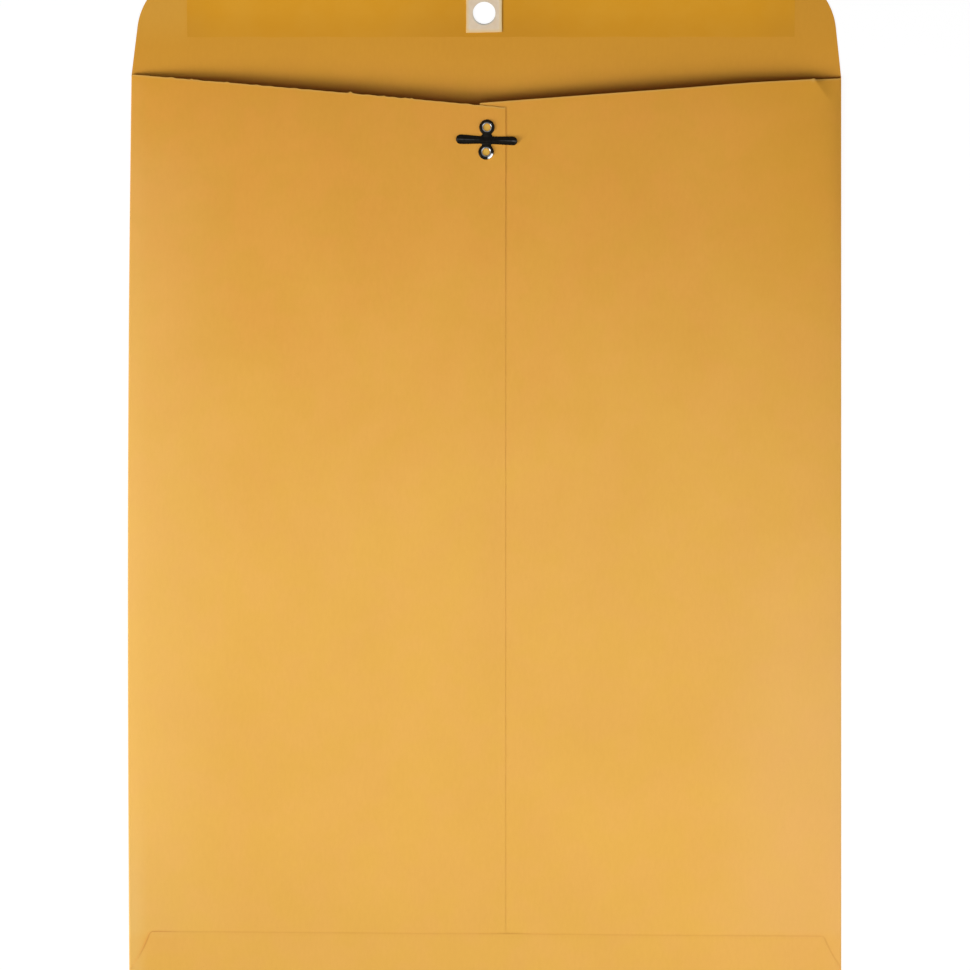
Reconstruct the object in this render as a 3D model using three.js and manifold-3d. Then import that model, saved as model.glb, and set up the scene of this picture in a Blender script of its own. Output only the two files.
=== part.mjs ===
// A 10 by 13 inch clasp envelope, lying on its address face with the closure flap open.
// Millimetres. +X is right and +Y runs from the bottom fold towards the flap. +Z is up.
// The origin is under the middle of the whole outline, on the surface that the envelope lies on.
import * as THREE from "three";
import { mergeVertices } from "three/addons/utils/BufferGeometryUtils.js";
import Module from "manifold-3d";

const wasm = await Module();
wasm.setup();

// Sheet
const paper = 0.2; // thickness of the kraft sheet
const glueFilm = 0.1; // thickness of a glue film

// Pocket
const bodyWidth = 254; // over the side folds
const bodyHeight = 330.2; // bottom fold to top fold
const sideFoldGap = 0.6; // clear space inside a side fold
const seamOverlap = 14.2; // width of the lap where the back panels are glued
const seamGlueWidth = 10;
const puffHeight = 4.2; // how far the middle of the back stands above the side folds
const rollShare = 0.3; // share of that height reached in the roll beside each side fold
const rollLength = 8; // how far in from the side fold the roll fades out
const levelling = 2.5; // exponent with which the rest rises and levels out, 1 is straight
const bottomRise = 60; // length over which the back rises above the bottom flap
const lapRun = 27; // width over which a panel comes down beside the lap

// Throat, the cut top edge of the back panels
const leftThroatDepth = 10.2; // below the top fold, halfway across
const leftThroatCurve = 1.2; // exponent of the cut's curve, 1 is straight
const rightThroatDepth = 9.5;
const rightThroatCurve = 1.35;

// Bottom flap
const bottomFlapHeight = 24.3;
const bottomFlapInset = 7.2; // how much narrower each side is at the flap's free edge
const bottomFlapCorner = 2;
const bottomFlapGlueInset = 3; // bare rim round the glue

// Closure flap
const flapLength = 38.1; // top fold to tip
const flapRootInset = 0.4; // how much narrower each side is at the fold
const flapTaper = 0.115; // width lost at each side for each millimetre of length
const flapCornerRadius = 23;
const creaseWidth = 3; // scored strip that bends
const gumWidth = 216;
const gumStart = 14.1; // from the top fold
const gumEndMargin = 2.6; // bare strip at the tip
const gumThickness = 0.1;
const patchWidth = 13;
const patchLength = 14.2;
const patchThickness = 0.1;
const holeDiameter = 7.9;
const holeFromFold = 22.6; // the clasp sits at the same distance on the other side of the fold
const holeShift = -0.5; // the punch sits a little left of the middle

// Clasp
const claspLength = 21.7; // over both prongs
const claspShift = 0.4; // the clasp sits a little right of the middle
const plateThickness = 0.35;
const ringRadius = 2.8;
const ringSpacing = 8.8; // between the middles of the two rings
const neckWidth = 2.6;
const saddleHeight = 1.1; // above the paper
const prongTipWidth = 3;
const prongRootWidth = 2.6;
const prongWall = 0.3;
const prongLift = 0.15; // running gap under a prong that lies flat
const prongRootGap = 0.3; // between the saddle and a prong
const prongTipLength = 1.6; // rounded end
const prongTipDrop = 0.6; // share of the height that is lost towards the very tip
const prongSideShare = 0.25; // share of the height over which a prong's sides stand upright
const boreRadius = 1.43;
const barrelWall = 0.22;
const flangeRadius = 2.4;
const flangeThickness = 0.25;
const flangeShoulder = 0.7; // share of the thickness at the rounded rim
const clinchRadius = 2.5;
const clinchThickness = 0.25;
const pierceClearance = 0.3; // round a barrel, in metal and in paper
const claspFlatMargin = 1.25; // flat paper beyond the prong tips

// Fineness of round and curved stretches
const foldSteps = 8;
const holeSteps = 32;
const puffSteps = 12;
const puffSpread = 1.8; // exponent that draws the columns closer beside the side folds
const riseSteps = 8;
const prongSteps = 10;
const prongArcSteps = 10;

// Places worked out from the sizes
const halfWidth = bodyWidth / 2;
const bottomY = -(bodyHeight + flapLength) / 2;
const foldY = bottomY + bodyHeight;
const sideFoldRadius = paper + sideFoldGap / 2;
const panelEdge = halfWidth - sideFoldRadius; // flat panels meet the round side folds here
const backZ = paper + sideFoldGap; // underside of the back panels at the side folds
const lap = paper + glueFilm; // how much the over panel stands above the under panel
const overlapHalf = seamOverlap / 2;
// half width of the level zone round the seam
const flatHalf = claspLength / 2 + Math.abs(claspShift) + claspFlatMargin;
const bottomFoldReach = (backZ + 2 * paper + glueFilm + lap) / 2;
const bottomRowY = bottomY + bottomFoldReach; // flat panels meet the round bottom fold here
const bottomFlapTopY = bottomY + bottomFlapHeight;
const riseStartY = bottomFlapTopY + paper;
const claspY = foldY - holeFromFold;
const claspZ = backZ + puffHeight + lap + paper; // the paper that the clasp sits on
const claspTopZ = claspZ + saddleHeight;
const flapTopZ = paper + gumThickness; // inner face of the flap with its gum

const kraft = new THREE.MeshStandardMaterial({ color: "#e3ae57", roughness: 0.8, metalness: 0 });
const kraftInside = new THREE.MeshStandardMaterial({ color: "#cb9438", roughness: 0.8, metalness: 0 });
const gumFinish = new THREE.MeshStandardMaterial({ color: "#cb8e29", roughness: 0.4, metalness: 0 });
const glueFinish = new THREE.MeshStandardMaterial({ color: "#d9c9a3", roughness: 0.5, metalness: 0 });
const patchFinish = new THREE.MeshStandardMaterial({ color: "#d3c3a8", roughness: 0.45, metalness: 0 });
const claspFinish = new THREE.MeshStandardMaterial({ color: "#26262a", roughness: 0.25, metalness: 1 });

const envelope = new THREE.Group();

function addPiece(name, geometry, material) {
  const mesh = new THREE.Mesh(geometry, material);
  mesh.name = name;
  envelope.add(mesh);
}

function clamp01(value) {
  return Math.min(Math.max(value, 0), 1);
}

// Six times the volume inside a list of triangles; it is negative where the faces point in.
function signedVolume(points, faces) {
  let sum = 0;
  for (const [a, b, c] of faces) {
    const [p, q, r] = [points[a], points[b], points[c]];
    sum += p[0] * (q[1] * r[2] - q[2] * r[1]);
    sum += p[1] * (q[2] * r[0] - q[0] * r[2]);
    sum += p[2] * (q[0] * r[1] - q[1] * r[0]);
  }
  return sum;
}

function geometryFrom(points, faces) {
  const outward = signedVolume(points, faces) > 0 ? faces : faces.map(([a, b, c]) => [a, c, b]);
  const geometry = new THREE.BufferGeometry();
  geometry.setAttribute("position", new THREE.Float32BufferAttribute(points.flat(), 3));
  geometry.setIndex(outward.flat());
  return geometry;
}

// A closed sheet through a row of stations. Each station has two rails with as many points:
// under, along one face of the sheet, and over, along the other face.
function sheetBody(stations) {
  const count = stations[0].under.length;
  const points = stations.flatMap(({ under, over }) => [...under, ...over]);
  const underAt = (s, i) => s * 2 * count + i;
  const overAt = (s, i) => s * 2 * count + count + i;
  const faces = [];
  const quad = (a, b, c, d) => faces.push([a, b, c], [a, c, d]);
  const last = stations.length - 1;
  for (let s = 0; s < last; s += 1) {
    for (let i = 0; i < count - 1; i += 1) {
      quad(underAt(s, i), underAt(s, i + 1), underAt(s + 1, i + 1), underAt(s + 1, i));
      quad(overAt(s, i), overAt(s + 1, i), overAt(s + 1, i + 1), overAt(s, i + 1));
    }
    quad(underAt(s, 0), underAt(s + 1, 0), overAt(s + 1, 0), overAt(s, 0));
    quad(underAt(s, count - 1), overAt(s, count - 1), overAt(s + 1, count - 1), underAt(s + 1, count - 1));
  }
  for (let i = 0; i < count - 1; i += 1) {
    quad(underAt(0, i), overAt(0, i), overAt(0, i + 1), underAt(0, i + 1));
    quad(underAt(last, i), underAt(last, i + 1), overAt(last, i + 1), overAt(last, i));
  }
  return geometryFrom(points, faces);
}

// A flat piece: an outline in plan, from height z up by its thickness.
function plate(outline, z, thickness) {
  const geometry = new THREE.ExtrudeGeometry(outline, {
    depth: thickness,
    bevelEnabled: false,
    curveSegments: holeSteps,
  });
  geometry.translate(0, 0, z);
  return geometry;
}

function solidFrom(geometry) {
  const bare = geometry.clone();
  bare.deleteAttribute("normal");
  bare.deleteAttribute("uv");
  const merged = mergeVertices(bare, 1e-5);
  const vertProperties = new Float32Array(merged.attributes.position.array);
  const triVerts = new Uint32Array(merged.index.array);
  return new wasm.Manifold(new wasm.Mesh({ numProp: 3, vertProperties, triVerts }));
}

function geometryOf(solid) {
  const { vertProperties, triVerts } = solid.getMesh();
  const geometry = new THREE.BufferGeometry();
  geometry.setAttribute("position", new THREE.BufferAttribute(new Float32Array(vertProperties), 3));
  geometry.setIndex(new THREE.BufferAttribute(new Uint32Array(triVerts), 1));
  return geometry;
}

// An upright round post, used as a cutter.
function post(radius, x, y, lowZ, highZ) {
  const geometry = new THREE.CylinderGeometry(radius, radius, highZ - lowZ, holeSteps);
  geometry.rotateX(Math.PI / 2);
  geometry.translate(x, y, (lowZ + highZ) / 2);
  return solidFrom(geometry);
}

const ringPlaces = [claspY + ringSpacing / 2, claspY - ringSpacing / 2];
const barrelRadius = boreRadius + barrelWall;

// Cuts the two holes that the clasp's barrels pass through.
function pierced(geometry) {
  let solid = solidFrom(geometry);
  for (const y of ringPlaces) {
    solid = solid.subtract(post(barrelRadius + pierceClearance, claspShift, y, 0, claspTopZ));
  }
  return geometryOf(solid);
}

// Height of the back above the side folds, as a share: a short roll next to a side fold, then a
// long rise that levels out at the flat zone round the seam and the clasp.
const riseRun = panelEdge - flatHalf;
const rollWhole = 1 - Math.exp(-riseRun / rollLength);
function acrossShare(x) {
  const inset = Math.min(Math.max(panelEdge - Math.abs(x), 0), riseRun);
  const roll = (1 - Math.exp(-inset / rollLength)) / rollWhole;
  const rise = 1 - (1 - inset / riseRun) ** levelling;
  return rollShare * roll + (1 - rollShare) * rise;
}

// The same along the length: nothing under the bottom flap, then a smooth rise to the whole.
function alongShare(y) {
  const t = clamp01((y - riseStartY) / bottomRise);
  return t * t * (3 - 2 * t);
}

// Extra height of the over panel, which comes down beside the lap.
function leftLift(x) {
  return lap * clamp01((x + flatHalf + lapRun) / lapRun);
}

// Height of the whole stack that the bottom flap is glued to, above the under panel's level.
function stackLift(x) {
  return x <= overlapHalf ? leftLift(x) : lap * clamp01((overlapHalf + lapRun - x) / lapRun);
}

function backHeight(x, y) {
  return backZ + puffHeight * acrossShare(x) * alongShare(y);
}

// Columns from the right side fold to the flat zone, closer together where the back rises most.
const riseXs = [];
for (let i = 0; i <= puffSteps; i += 1) {
  riseXs.push(panelEdge - riseRun * (i / puffSteps) ** puffSpread);
}

const bodyRowYs = [bottomRowY];
for (let i = 0; i <= riseSteps; i += 1) {
  bodyRowYs.push(riseStartY + (bottomRise * i) / riseSteps);
}

function ascending(values) {
  return [...new Set(values)].sort((a, b) => a - b);
}

// A back panel: a sheet over the given columns, raised by lift, with its cut top edge at throatY.
function backPanel(xs, lift, throatY) {
  const stations = xs.map((x) => {
    const under = [...bodyRowYs, throatY(x)].map((y) => [x, y, backHeight(x, y) + lift(x)]);
    return { under, over: under.map(([px, py, pz]) => [px, py, pz + paper]) };
  });
  return pierced(sheetBody(stations));
}

function leftThroatY(x) {
  return foldY - leftThroatDepth * ((x + halfWidth) / halfWidth) ** leftThroatCurve;
}

function rightThroatY(x) {
  return foldY - rightThroatDepth * ((halfWidth - x) / halfWidth) ** rightThroatCurve;
}

function addPocket() {
  const front = new THREE.BoxGeometry(2 * panelEdge, foldY - bottomRowY, paper);
  front.translate(0, (foldY + bottomRowY) / 2, paper / 2);
  addPiece("front_panel", front, kraft);

  addPiece("left_side_fold", sideFold(-1), kraft);
  addPiece("right_side_fold", sideFold(1), kraft);

  const leftXs = ascending([...riseXs.map((x) => -x), -(flatHalf + lapRun), -overlapHalf, overlapHalf]);
  addPiece("left_back_panel", backPanel(leftXs, leftLift, leftThroatY), kraft);
  const rightXs = ascending([...riseXs, -overlapHalf, overlapHalf]);
  addPiece("right_back_panel", backPanel(rightXs, () => 0, rightThroatY), kraft);
  addPiece("seam_glue", pierced(seamGlue()), glueFinish);
}

// Half a round tube down one side. It joins the front panel to a back panel.
function sideFold(side) {
  const stations = [bottomRowY, foldY].map((y) => {
    const rail = (radius) => {
      const points = [];
      for (let i = 0; i <= foldSteps; i += 1) {
        const angle = Math.PI * (i / foldSteps - 0.5);
        const x = side * (panelEdge + radius * Math.cos(angle));
        points.push([x, y, sideFoldRadius + radius * Math.sin(angle)]);
      }
      return points;
    };
    return { under: rail(sideFoldRadius - paper), over: rail(sideFoldRadius) };
  });
  return sheetBody(stations);
}

// The film between the two back panels, which follows their rise from the bottom flap.
function seamGlue() {
  const half = seamGlueWidth / 2;
  const topY = Math.min(leftThroatY(half), rightThroatY(-half)) - glueFilm;
  const stations = [-half, half].map((x) => {
    const under = [...bodyRowYs, topY].map((y) => [x, y, backHeight(0, y) + paper]);
    return { under, over: under.map(([px, py, pz]) => [px, py, pz + glueFilm]) };
  });
  return sheetBody(stations);
}

const flapUnderZ = backZ + paper + glueFilm; // the bottom flap's underside away from the lap
const lapXs = [-(flatHalf + lapRun), -flatHalf, overlapHalf, overlapHalf + lapRun];

// Half a flattened tube along the bottom. It joins the front panel to the bottom flap, and is
// taller at the lap, where the stack that it goes round is thicker.
function bottomFold() {
  const stations = [-panelEdge, ...lapXs, panelEdge].map((x) => {
    const half = (flapUnderZ + stackLift(x) + paper) / 2;
    const rail = (offset) => {
      const points = [];
      for (let i = 0; i <= foldSteps; i += 1) {
        const angle = Math.PI * (i / foldSteps - 0.5);
        const y = bottomRowY - (bottomFoldReach - offset) * Math.cos(angle);
        points.push([x, y, half + (half - offset) * Math.sin(angle)]);
      }
      return points;
    };
    return { under: rail(paper), over: rail(0) };
  });
  return sheetBody(stations);
}

// The tapered flap, with its two free corners rounded.
function bottomFlap() {
  const slope = bottomFlapInset / bottomFlapHeight;
  const cornerY = bottomFlapTopY - bottomFlapCorner;
  const rows = [[bottomRowY, 0]];
  for (let i = 0; i <= foldSteps; i += 1) {
    const angle = (Math.PI / 2) * (i / foldSteps);
    const inset = bottomFlapCorner * (1 - Math.cos(angle));
    rows.push([cornerY + bottomFlapCorner * Math.sin(angle), inset]);
  }
  const stations = rows.map(([y, inset]) => {
    const edge = panelEdge - slope * (y - bottomRowY) - inset;
    const under = [-edge, ...lapXs, edge].map((x) => [x, y, flapUnderZ + stackLift(x)]);
    return { under, over: under.map(([px, py, pz]) => [px, py, pz + paper]) };
  });
  return sheetBody(stations);
}

// The film under the bottom flap. Its underside steps down at the edge of the over panel.
function bottomFlapGlue() {
  const edge = panelEdge - bottomFlapInset - bottomFlapGlueInset;
  const lowZ = backZ + paper;
  const top = [-edge, ...lapXs, edge].map((x) => [x, flapUnderZ + stackLift(x)]);
  const base = [
    [edge, lowZ],
    [overlapHalf, lowZ],
    [overlapHalf, lowZ + lap],
    [-flatHalf, lowZ + lap],
    [-(flatHalf + lapRun), lowZ],
    [-edge, lowZ],
  ];
  const section = new THREE.Shape([...top, ...base].map(([x, z]) => new THREE.Vector2(x, z)));
  const depth = bottomFlapTopY - bottomFlapGlueInset - (bottomRowY + bottomFlapGlueInset);
  const geometry = new THREE.ExtrudeGeometry(section, { depth, bevelEnabled: false });
  geometry.rotateX(Math.PI / 2);
  geometry.translate(0, bottomFlapTopY - bottomFlapGlueInset, 0);
  return geometry;
}

function addBottom() {
  addPiece("bottom_fold", bottomFold(), kraft);
  addPiece("bottom_flap", bottomFlap(), kraft);
  addPiece("bottom_flap_glue", bottomFlapGlue(), glueFinish);
}

// Half width of the closure flap's straight side at a distance from the fold.
function flapHalfWidth(distance) {
  return halfWidth - flapRootInset - flapTaper * distance;
}

function addClosureFlap() {
  const holeX = holeShift;
  const holeY = foldY + holeFromFold;
  const holePath = () => new THREE.Path().absarc(holeX, holeY, holeDiameter / 2, 0, 2 * Math.PI, true);

  const crease = new THREE.Shape();
  crease.moveTo(-flapHalfWidth(0), foldY);
  crease.lineTo(flapHalfWidth(0), foldY);
  crease.lineTo(flapHalfWidth(creaseWidth), foldY + creaseWidth);
  crease.lineTo(-flapHalfWidth(creaseWidth), foldY + creaseWidth);
  addPiece("top_fold_crease", plate(crease, 0, paper), kraftInside);

  // Each corner arc touches the tapered side and the tip.
  const lean = Math.atan(flapTaper);
  const centreDistance = flapLength - flapCornerRadius;
  const centreX = flapHalfWidth(centreDistance) - flapCornerRadius / Math.cos(lean);
  const centreY = foldY + centreDistance;
  const flap = new THREE.Shape();
  flap.moveTo(-flapHalfWidth(creaseWidth), foldY + creaseWidth);
  flap.lineTo(flapHalfWidth(creaseWidth), foldY + creaseWidth);
  flap.absarc(centreX, centreY, flapCornerRadius, lean, Math.PI / 2, false);
  flap.absarc(-centreX, centreY, flapCornerRadius, Math.PI / 2, Math.PI - lean, false);
  flap.holes.push(holePath());
  addPiece("closure_flap", plate(flap, 0, paper), kraftInside);

  const gum = rectangle(0, foldY + gumStart, gumWidth, flapLength - gumEndMargin - gumStart);
  gum.holes.push(holePath());
  addPiece("flap_gum_band", plate(gum, paper, gumThickness), gumFinish);

  const patch = rectangle(holeX, holeY - patchLength / 2, patchWidth, patchLength);
  patch.holes.push(holePath());
  addPiece("flap_patch", plate(patch, flapTopZ, patchThickness), patchFinish);
}

// A rectangle in plan, centred across on x and starting at lowY.
function rectangle(x, lowY, width, length) {
  const outline = new THREE.Shape();
  outline.moveTo(x - width / 2, lowY);
  outline.lineTo(x + width / 2, lowY);
  outline.lineTo(x + width / 2, lowY + length);
  outline.lineTo(x - width / 2, lowY + length);
  return outline;
}

// A blunt half round bar along X, flat underneath, with a round far end. The cross section is
// half an ellipse. Its half width goes from root to tip, and the end closes as a quarter ellipse.
function halfRoundBar({ startX, length, rootHalf, tipHalf, endLength, bottomZ, height }) {
  const stations = [];
  const straight = length - endLength;
  const section = (x, half, top) => {
    const under = [];
    const over = [];
    for (let i = 0; i <= prongArcSteps; i += 1) {
      const angle = Math.PI * (i / prongArcSteps);
      const y = -half * Math.cos(angle);
      under.push([x, claspY + y, bottomZ]);
      const rise = prongSideShare + (1 - prongSideShare) * Math.sin(angle);
      over.push([x, claspY + y, bottomZ + top * rise]);
    }
    stations.push({ under, over });
  };
  section(startX, rootHalf, height);
  for (let i = 0; i < prongSteps; i += 1) {
    const angle = (Math.PI / 2) * (i / prongSteps);
    const shrink = Math.cos(angle);
    const top = height * (1 - prongTipDrop * (1 - shrink));
    section(startX + straight + endLength * Math.sin(angle), tipHalf * shrink, top);
  }
  return sheetBody(stations);
}

// A prong: a pressed channel, open underneath, that lies flat and points away from the saddle.
function prong() {
  const startX = claspShift + neckWidth / 2 + prongRootGap;
  const length = (claspLength - neckWidth) / 2 - prongRootGap;
  const bottomZ = claspZ + prongLift;
  const height = saddleHeight - prongLift;
  const outer = {
    startX,
    length,
    rootHalf: prongRootWidth / 2,
    tipHalf: prongTipWidth / 2,
    endLength: prongTipLength,
    bottomZ,
    height,
  };
  const hollow = {
    startX: startX + prongWall,
    length: length - 2 * prongWall,
    rootHalf: prongRootWidth / 2 - prongWall,
    tipHalf: prongTipWidth / 2 - prongWall,
    endLength: prongTipLength,
    bottomZ: bottomZ - prongWall,
    height,
  };
  const solid = solidFrom(halfRoundBar(outer)).subtract(solidFrom(halfRoundBar(hollow)));
  return geometryOf(solid);
}

// The plate has a ring at each end of a neck, and a saddle across the middle.
function claspBase() {
  const neck = rectangle(claspShift, claspY - ringSpacing / 2, neckWidth, ringSpacing);
  let solid = solidFrom(plate(neck, claspZ, plateThickness));
  for (const y of ringPlaces) {
    solid = solid.add(post(ringRadius, claspShift, y, claspZ, claspZ + plateThickness));
  }
  const saddle = [claspShift - neckWidth / 2, claspShift + neckWidth / 2].map((x) => {
    const under = [];
    const over = [];
    for (let i = 0; i <= prongArcSteps; i += 1) {
      const angle = Math.PI * (i / prongArcSteps);
      const y = claspY - (prongRootWidth / 2) * Math.cos(angle);
      under.push([x, y, claspZ]);
      over.push([x, y, claspZ + plateThickness + (saddleHeight - plateThickness) * Math.sin(angle)]);
    }
    return { under, over };
  });
  solid = solid.add(solidFrom(sheetBody(saddle)));
  for (const y of ringPlaces) {
    solid = solid.subtract(post(barrelRadius + pierceClearance, claspShift, y, claspZ - paper, claspTopZ));
  }
  return geometryOf(solid);
}

// A tubular rivet: a domed flange on the plate, a barrel through metal and paper, and the
// clinched end spread under the under panel, inside the pocket.
function eyelet(y) {
  const clinchTopZ = backZ + puffHeight;
  const flangeZ = claspZ + plateThickness;
  const profile = [
    [boreRadius, clinchTopZ - clinchThickness],
    [clinchRadius - clinchThickness / 2, clinchTopZ - clinchThickness],
    [clinchRadius, clinchTopZ - clinchThickness / 2],
    [clinchRadius, clinchTopZ],
    [barrelRadius, clinchTopZ],
    [barrelRadius, flangeZ],
    [flangeRadius, flangeZ],
    [flangeRadius - flangeThickness / 3, flangeZ + flangeThickness * flangeShoulder],
    [flangeRadius - flangeThickness, flangeZ + flangeThickness],
    [boreRadius + flangeThickness, flangeZ + flangeThickness],
    [boreRadius, flangeZ],
    [boreRadius, clinchTopZ - clinchThickness],
  ];
  const geometry = new THREE.LatheGeometry(profile.map(([r, z]) => new THREE.Vector2(r, z)), holeSteps);
  geometry.rotateX(Math.PI / 2);
  geometry.translate(claspShift, y, 0);
  return geometry;
}

function addClasp() {
  addPiece("clasp_base", claspBase(), claspFinish);
  addPiece("upper_eyelet", eyelet(ringPlaces[0]), claspFinish);
  addPiece("lower_eyelet", eyelet(ringPlaces[1]), claspFinish);
  addPiece("right_prong", prong(), claspFinish);
  const left = prong();
  left.rotateZ(Math.PI);
  left.translate(2 * claspShift, 2 * claspY, 0);
  addPiece("left_prong", left, claspFinish);
}

addPocket();
addBottom();
addClosureFlap();
addClasp();

export default envelope;
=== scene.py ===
"""A kraft clasp envelope with its flap open, lying on a white table and seen from straight above.

Lengths are in metres and places are those of the frame: +X right, +Y towards the flap, +Z up.
Every sheet is a grid of points worked out from a formula, with an outer and an inner face.
"""
import math

import bpy
import numpy as np
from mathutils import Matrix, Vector


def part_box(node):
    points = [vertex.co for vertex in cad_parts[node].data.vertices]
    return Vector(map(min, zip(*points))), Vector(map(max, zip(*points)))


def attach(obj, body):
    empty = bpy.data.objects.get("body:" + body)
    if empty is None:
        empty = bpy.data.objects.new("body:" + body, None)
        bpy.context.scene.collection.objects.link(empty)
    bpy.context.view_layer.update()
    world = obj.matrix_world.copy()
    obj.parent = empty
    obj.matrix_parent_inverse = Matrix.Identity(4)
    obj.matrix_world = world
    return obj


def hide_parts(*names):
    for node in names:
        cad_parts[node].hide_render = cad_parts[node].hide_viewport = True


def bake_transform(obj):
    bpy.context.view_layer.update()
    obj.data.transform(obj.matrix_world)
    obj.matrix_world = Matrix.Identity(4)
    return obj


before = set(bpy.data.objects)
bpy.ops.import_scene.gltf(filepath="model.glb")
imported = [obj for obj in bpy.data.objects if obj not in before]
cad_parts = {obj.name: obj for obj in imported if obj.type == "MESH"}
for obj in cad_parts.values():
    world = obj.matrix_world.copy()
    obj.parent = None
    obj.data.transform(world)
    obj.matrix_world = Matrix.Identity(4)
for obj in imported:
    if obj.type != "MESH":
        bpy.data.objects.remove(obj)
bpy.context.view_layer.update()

MM = 0.001
TINY = 1e-9  # keeps a division from meeting zero


def middle(node):
    """The middle of a node's box."""
    low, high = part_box(node)
    return (low + high) / 2


# Places and sizes taken from the frame

FRONT_LOW, FRONT_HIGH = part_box("front_panel")
SIDE_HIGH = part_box("right_side_fold")[1]
OVER_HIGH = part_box("left_back_panel")[1]
UNDER_LOW, UNDER_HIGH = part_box("right_back_panel")
BOTTOM_FLAP_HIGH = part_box("bottom_flap")[1]
BOTTOM_GLUE_LOW, BOTTOM_GLUE_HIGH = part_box("bottom_flap_glue")
FLAP_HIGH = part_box("closure_flap")[1]
CREASE_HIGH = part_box("top_fold_crease")[1]
GUM_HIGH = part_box("flap_gum_band")[1]
PATCH_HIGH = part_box("flap_patch")[1]
HOLE = middle("flap_patch")
CLASP = middle("clasp_base")
UPPER_RING = middle("upper_eyelet")
LOWER_RING = middle("lower_eyelet")

PAPER = FRONT_HIGH.z - FRONT_LOW.z
HALF_WIDTH = SIDE_HIGH.x
PANEL_EDGE = FRONT_HIGH.x
FOLD_RADIUS = SIDE_HIGH.z / 2
FOLD_Y = FRONT_HIGH.y
ROW_Y = FRONT_LOW.y
BOTTOM_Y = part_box("bottom_fold")[0].y
BACK_Z = SIDE_HIGH.z - PAPER
SEAM_X = OVER_HIGH.x
UNDER_SEAM_X = UNDER_LOW.x
LAP = OVER_HIGH.z - UNDER_HIGH.z
GLUE = LAP - PAPER
SEAM_GLUE_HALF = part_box("seam_glue")[1].x
PUFF = UNDER_HIGH.z - PAPER - BACK_Z
CLASP_Z = OVER_HIGH.z
RISE_START_Y = BOTTOM_FLAP_HIGH.y + PAPER


# Mesh making

SHARP_ANGLE = math.radians(40)
RING_STEPS = 96
WAVE_TURN = 2.4  # radians between the directions of two waves


def mesh_piece(name, points, faces, rim=None):
    """A mesh object from arrays of points and of four-cornered faces, smooth but for its sharp edges.

    Rim is kept as an attribute: above 0 on a raw cut edge and at a painted highlight, below 0 where
    shade is painted."""
    used, index = np.unique(faces, return_inverse=True)
    points, faces = points[used], index.reshape(faces.shape)
    mesh = bpy.data.meshes.new(name)
    mesh.vertices.add(len(points))
    mesh.vertices.foreach_set("co", points.astype(np.float32).ravel())
    mesh.loops.add(faces.size)
    mesh.loops.foreach_set("vertex_index", faces.astype(np.int32).ravel())
    mesh.polygons.add(len(faces))
    mesh.polygons.foreach_set("loop_start", np.arange(0, faces.size, 4, dtype=np.int32))
    mesh.update(calc_edges=True)
    mesh.polygons.foreach_set("use_smooth", np.ones(len(faces), bool))
    mesh.set_sharp_from_angle(angle=SHARP_ANGLE)
    if rim is not None:
        values = mesh.attributes.new("cut_edge_and_painted_light", "FLOAT", "POINT").data
        values.foreach_set("value", rim[used].astype(np.float32))
    piece = bpy.data.objects.new(name, mesh)
    bpy.context.scene.collection.objects.link(piece)
    return piece


def sheet_piece(name, outer, inner, keep=None, rim=None):
    """A closed sheet from two grids of points, its outer and its inner face.

    Cells that keep leaves out are holes. Each open edge of the grid gets a wall between the faces.
    """
    rows, columns = outer.shape[:2]
    count = rows * columns
    index = np.arange(count).reshape(rows, columns)
    cells = np.stack([index[:-1, :-1], index[:-1, 1:], index[1:, 1:], index[1:, :-1]], axis=-1)
    cells = cells.reshape(-1, 4) if keep is None else cells[keep]
    edges = np.concatenate([cells[:, [k, (k + 1) % 4]] for k in range(4)])
    there = edges[:, 0] * count + edges[:, 1]
    back = edges[:, 1] * count + edges[:, 0]
    start, end = edges[~np.isin(there, back)].T
    walls = np.stack([end, start, start + count, end + count], axis=-1)
    points = np.concatenate([outer.reshape(-1, 3), inner.reshape(-1, 3)])
    faces = np.concatenate([cells, cells[:, ::-1] + count, walls])
    return mesh_piece(name, points, faces, None if rim is None else np.tile(rim.ravel(), 2))


def lathe_piece(name, profile, centre):
    """A ring: a closed profile of (radius, height) points turned about an upright axis."""
    radius, height = np.array(profile).T
    angle = np.linspace(0, 2 * np.pi, RING_STEPS, endpoint=False)
    x = centre[0] + radius[:, None] * np.cos(angle)
    y = centre[1] + radius[:, None] * np.sin(angle)
    z = np.broadcast_to(height[:, None], x.shape)
    points = np.stack([x, y, z], axis=-1).reshape(-1, 3)
    index = np.arange(x.size).reshape(x.shape)
    right, up = np.roll(index, -1, axis=1), np.roll(index, -1, axis=0)
    faces = np.stack([index, right, np.roll(right, -1, axis=0), up], axis=-1).reshape(-1, 4)
    return mesh_piece(name, points, faces)


def smooth(t):
    """0 below 0, 1 above 1, and a smooth step between."""
    t = np.clip(t, 0, 1)
    return t * t * (3 - 2 * t)


def ramp(value, run):
    """A smooth step from 0 to 1 that begins at a run's start and is as long as its length."""
    start, length = run
    return smooth((value - start) / length)


def bell(t):
    """1 at 0, dying away to both sides as the exponential of minus the square."""
    return np.exp(-(t**2))


def waves(x, y, lengths, seed):
    """A gentle irregular ripple: a sum of sine waves in directions spread by a fixed rule."""
    total = np.zeros(np.broadcast(x, y).shape)
    for k, length in enumerate(lengths):
        turn = seed + WAVE_TURN * k
        along = x * np.cos(turn) + y * np.sin(turn)
        total = total + np.sin(2 * np.pi * along / length + 1.7 * seed + k)
    return total / len(lengths)


# The shape of the pocket

ROLL_SHARE = 0.3  # share of the back's height reached in the roll beside a side fold
ROLL_LENGTH = 8 * MM
LEVELLING = 2.5  # power of the curve in which the back levels out
BOTTOM_RISE = 60 * MM
FLAT_HALF = 12.5 * MM  # level zone round the seam and the clasp
LAP_RUN = 27 * MM  # width over which a panel comes down beside the lap
BRIDGE_RUN = 9 * MM  # width over which the bottom flap comes down past the lap
RUN = PANEL_EDGE - FLAT_HALF

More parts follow.
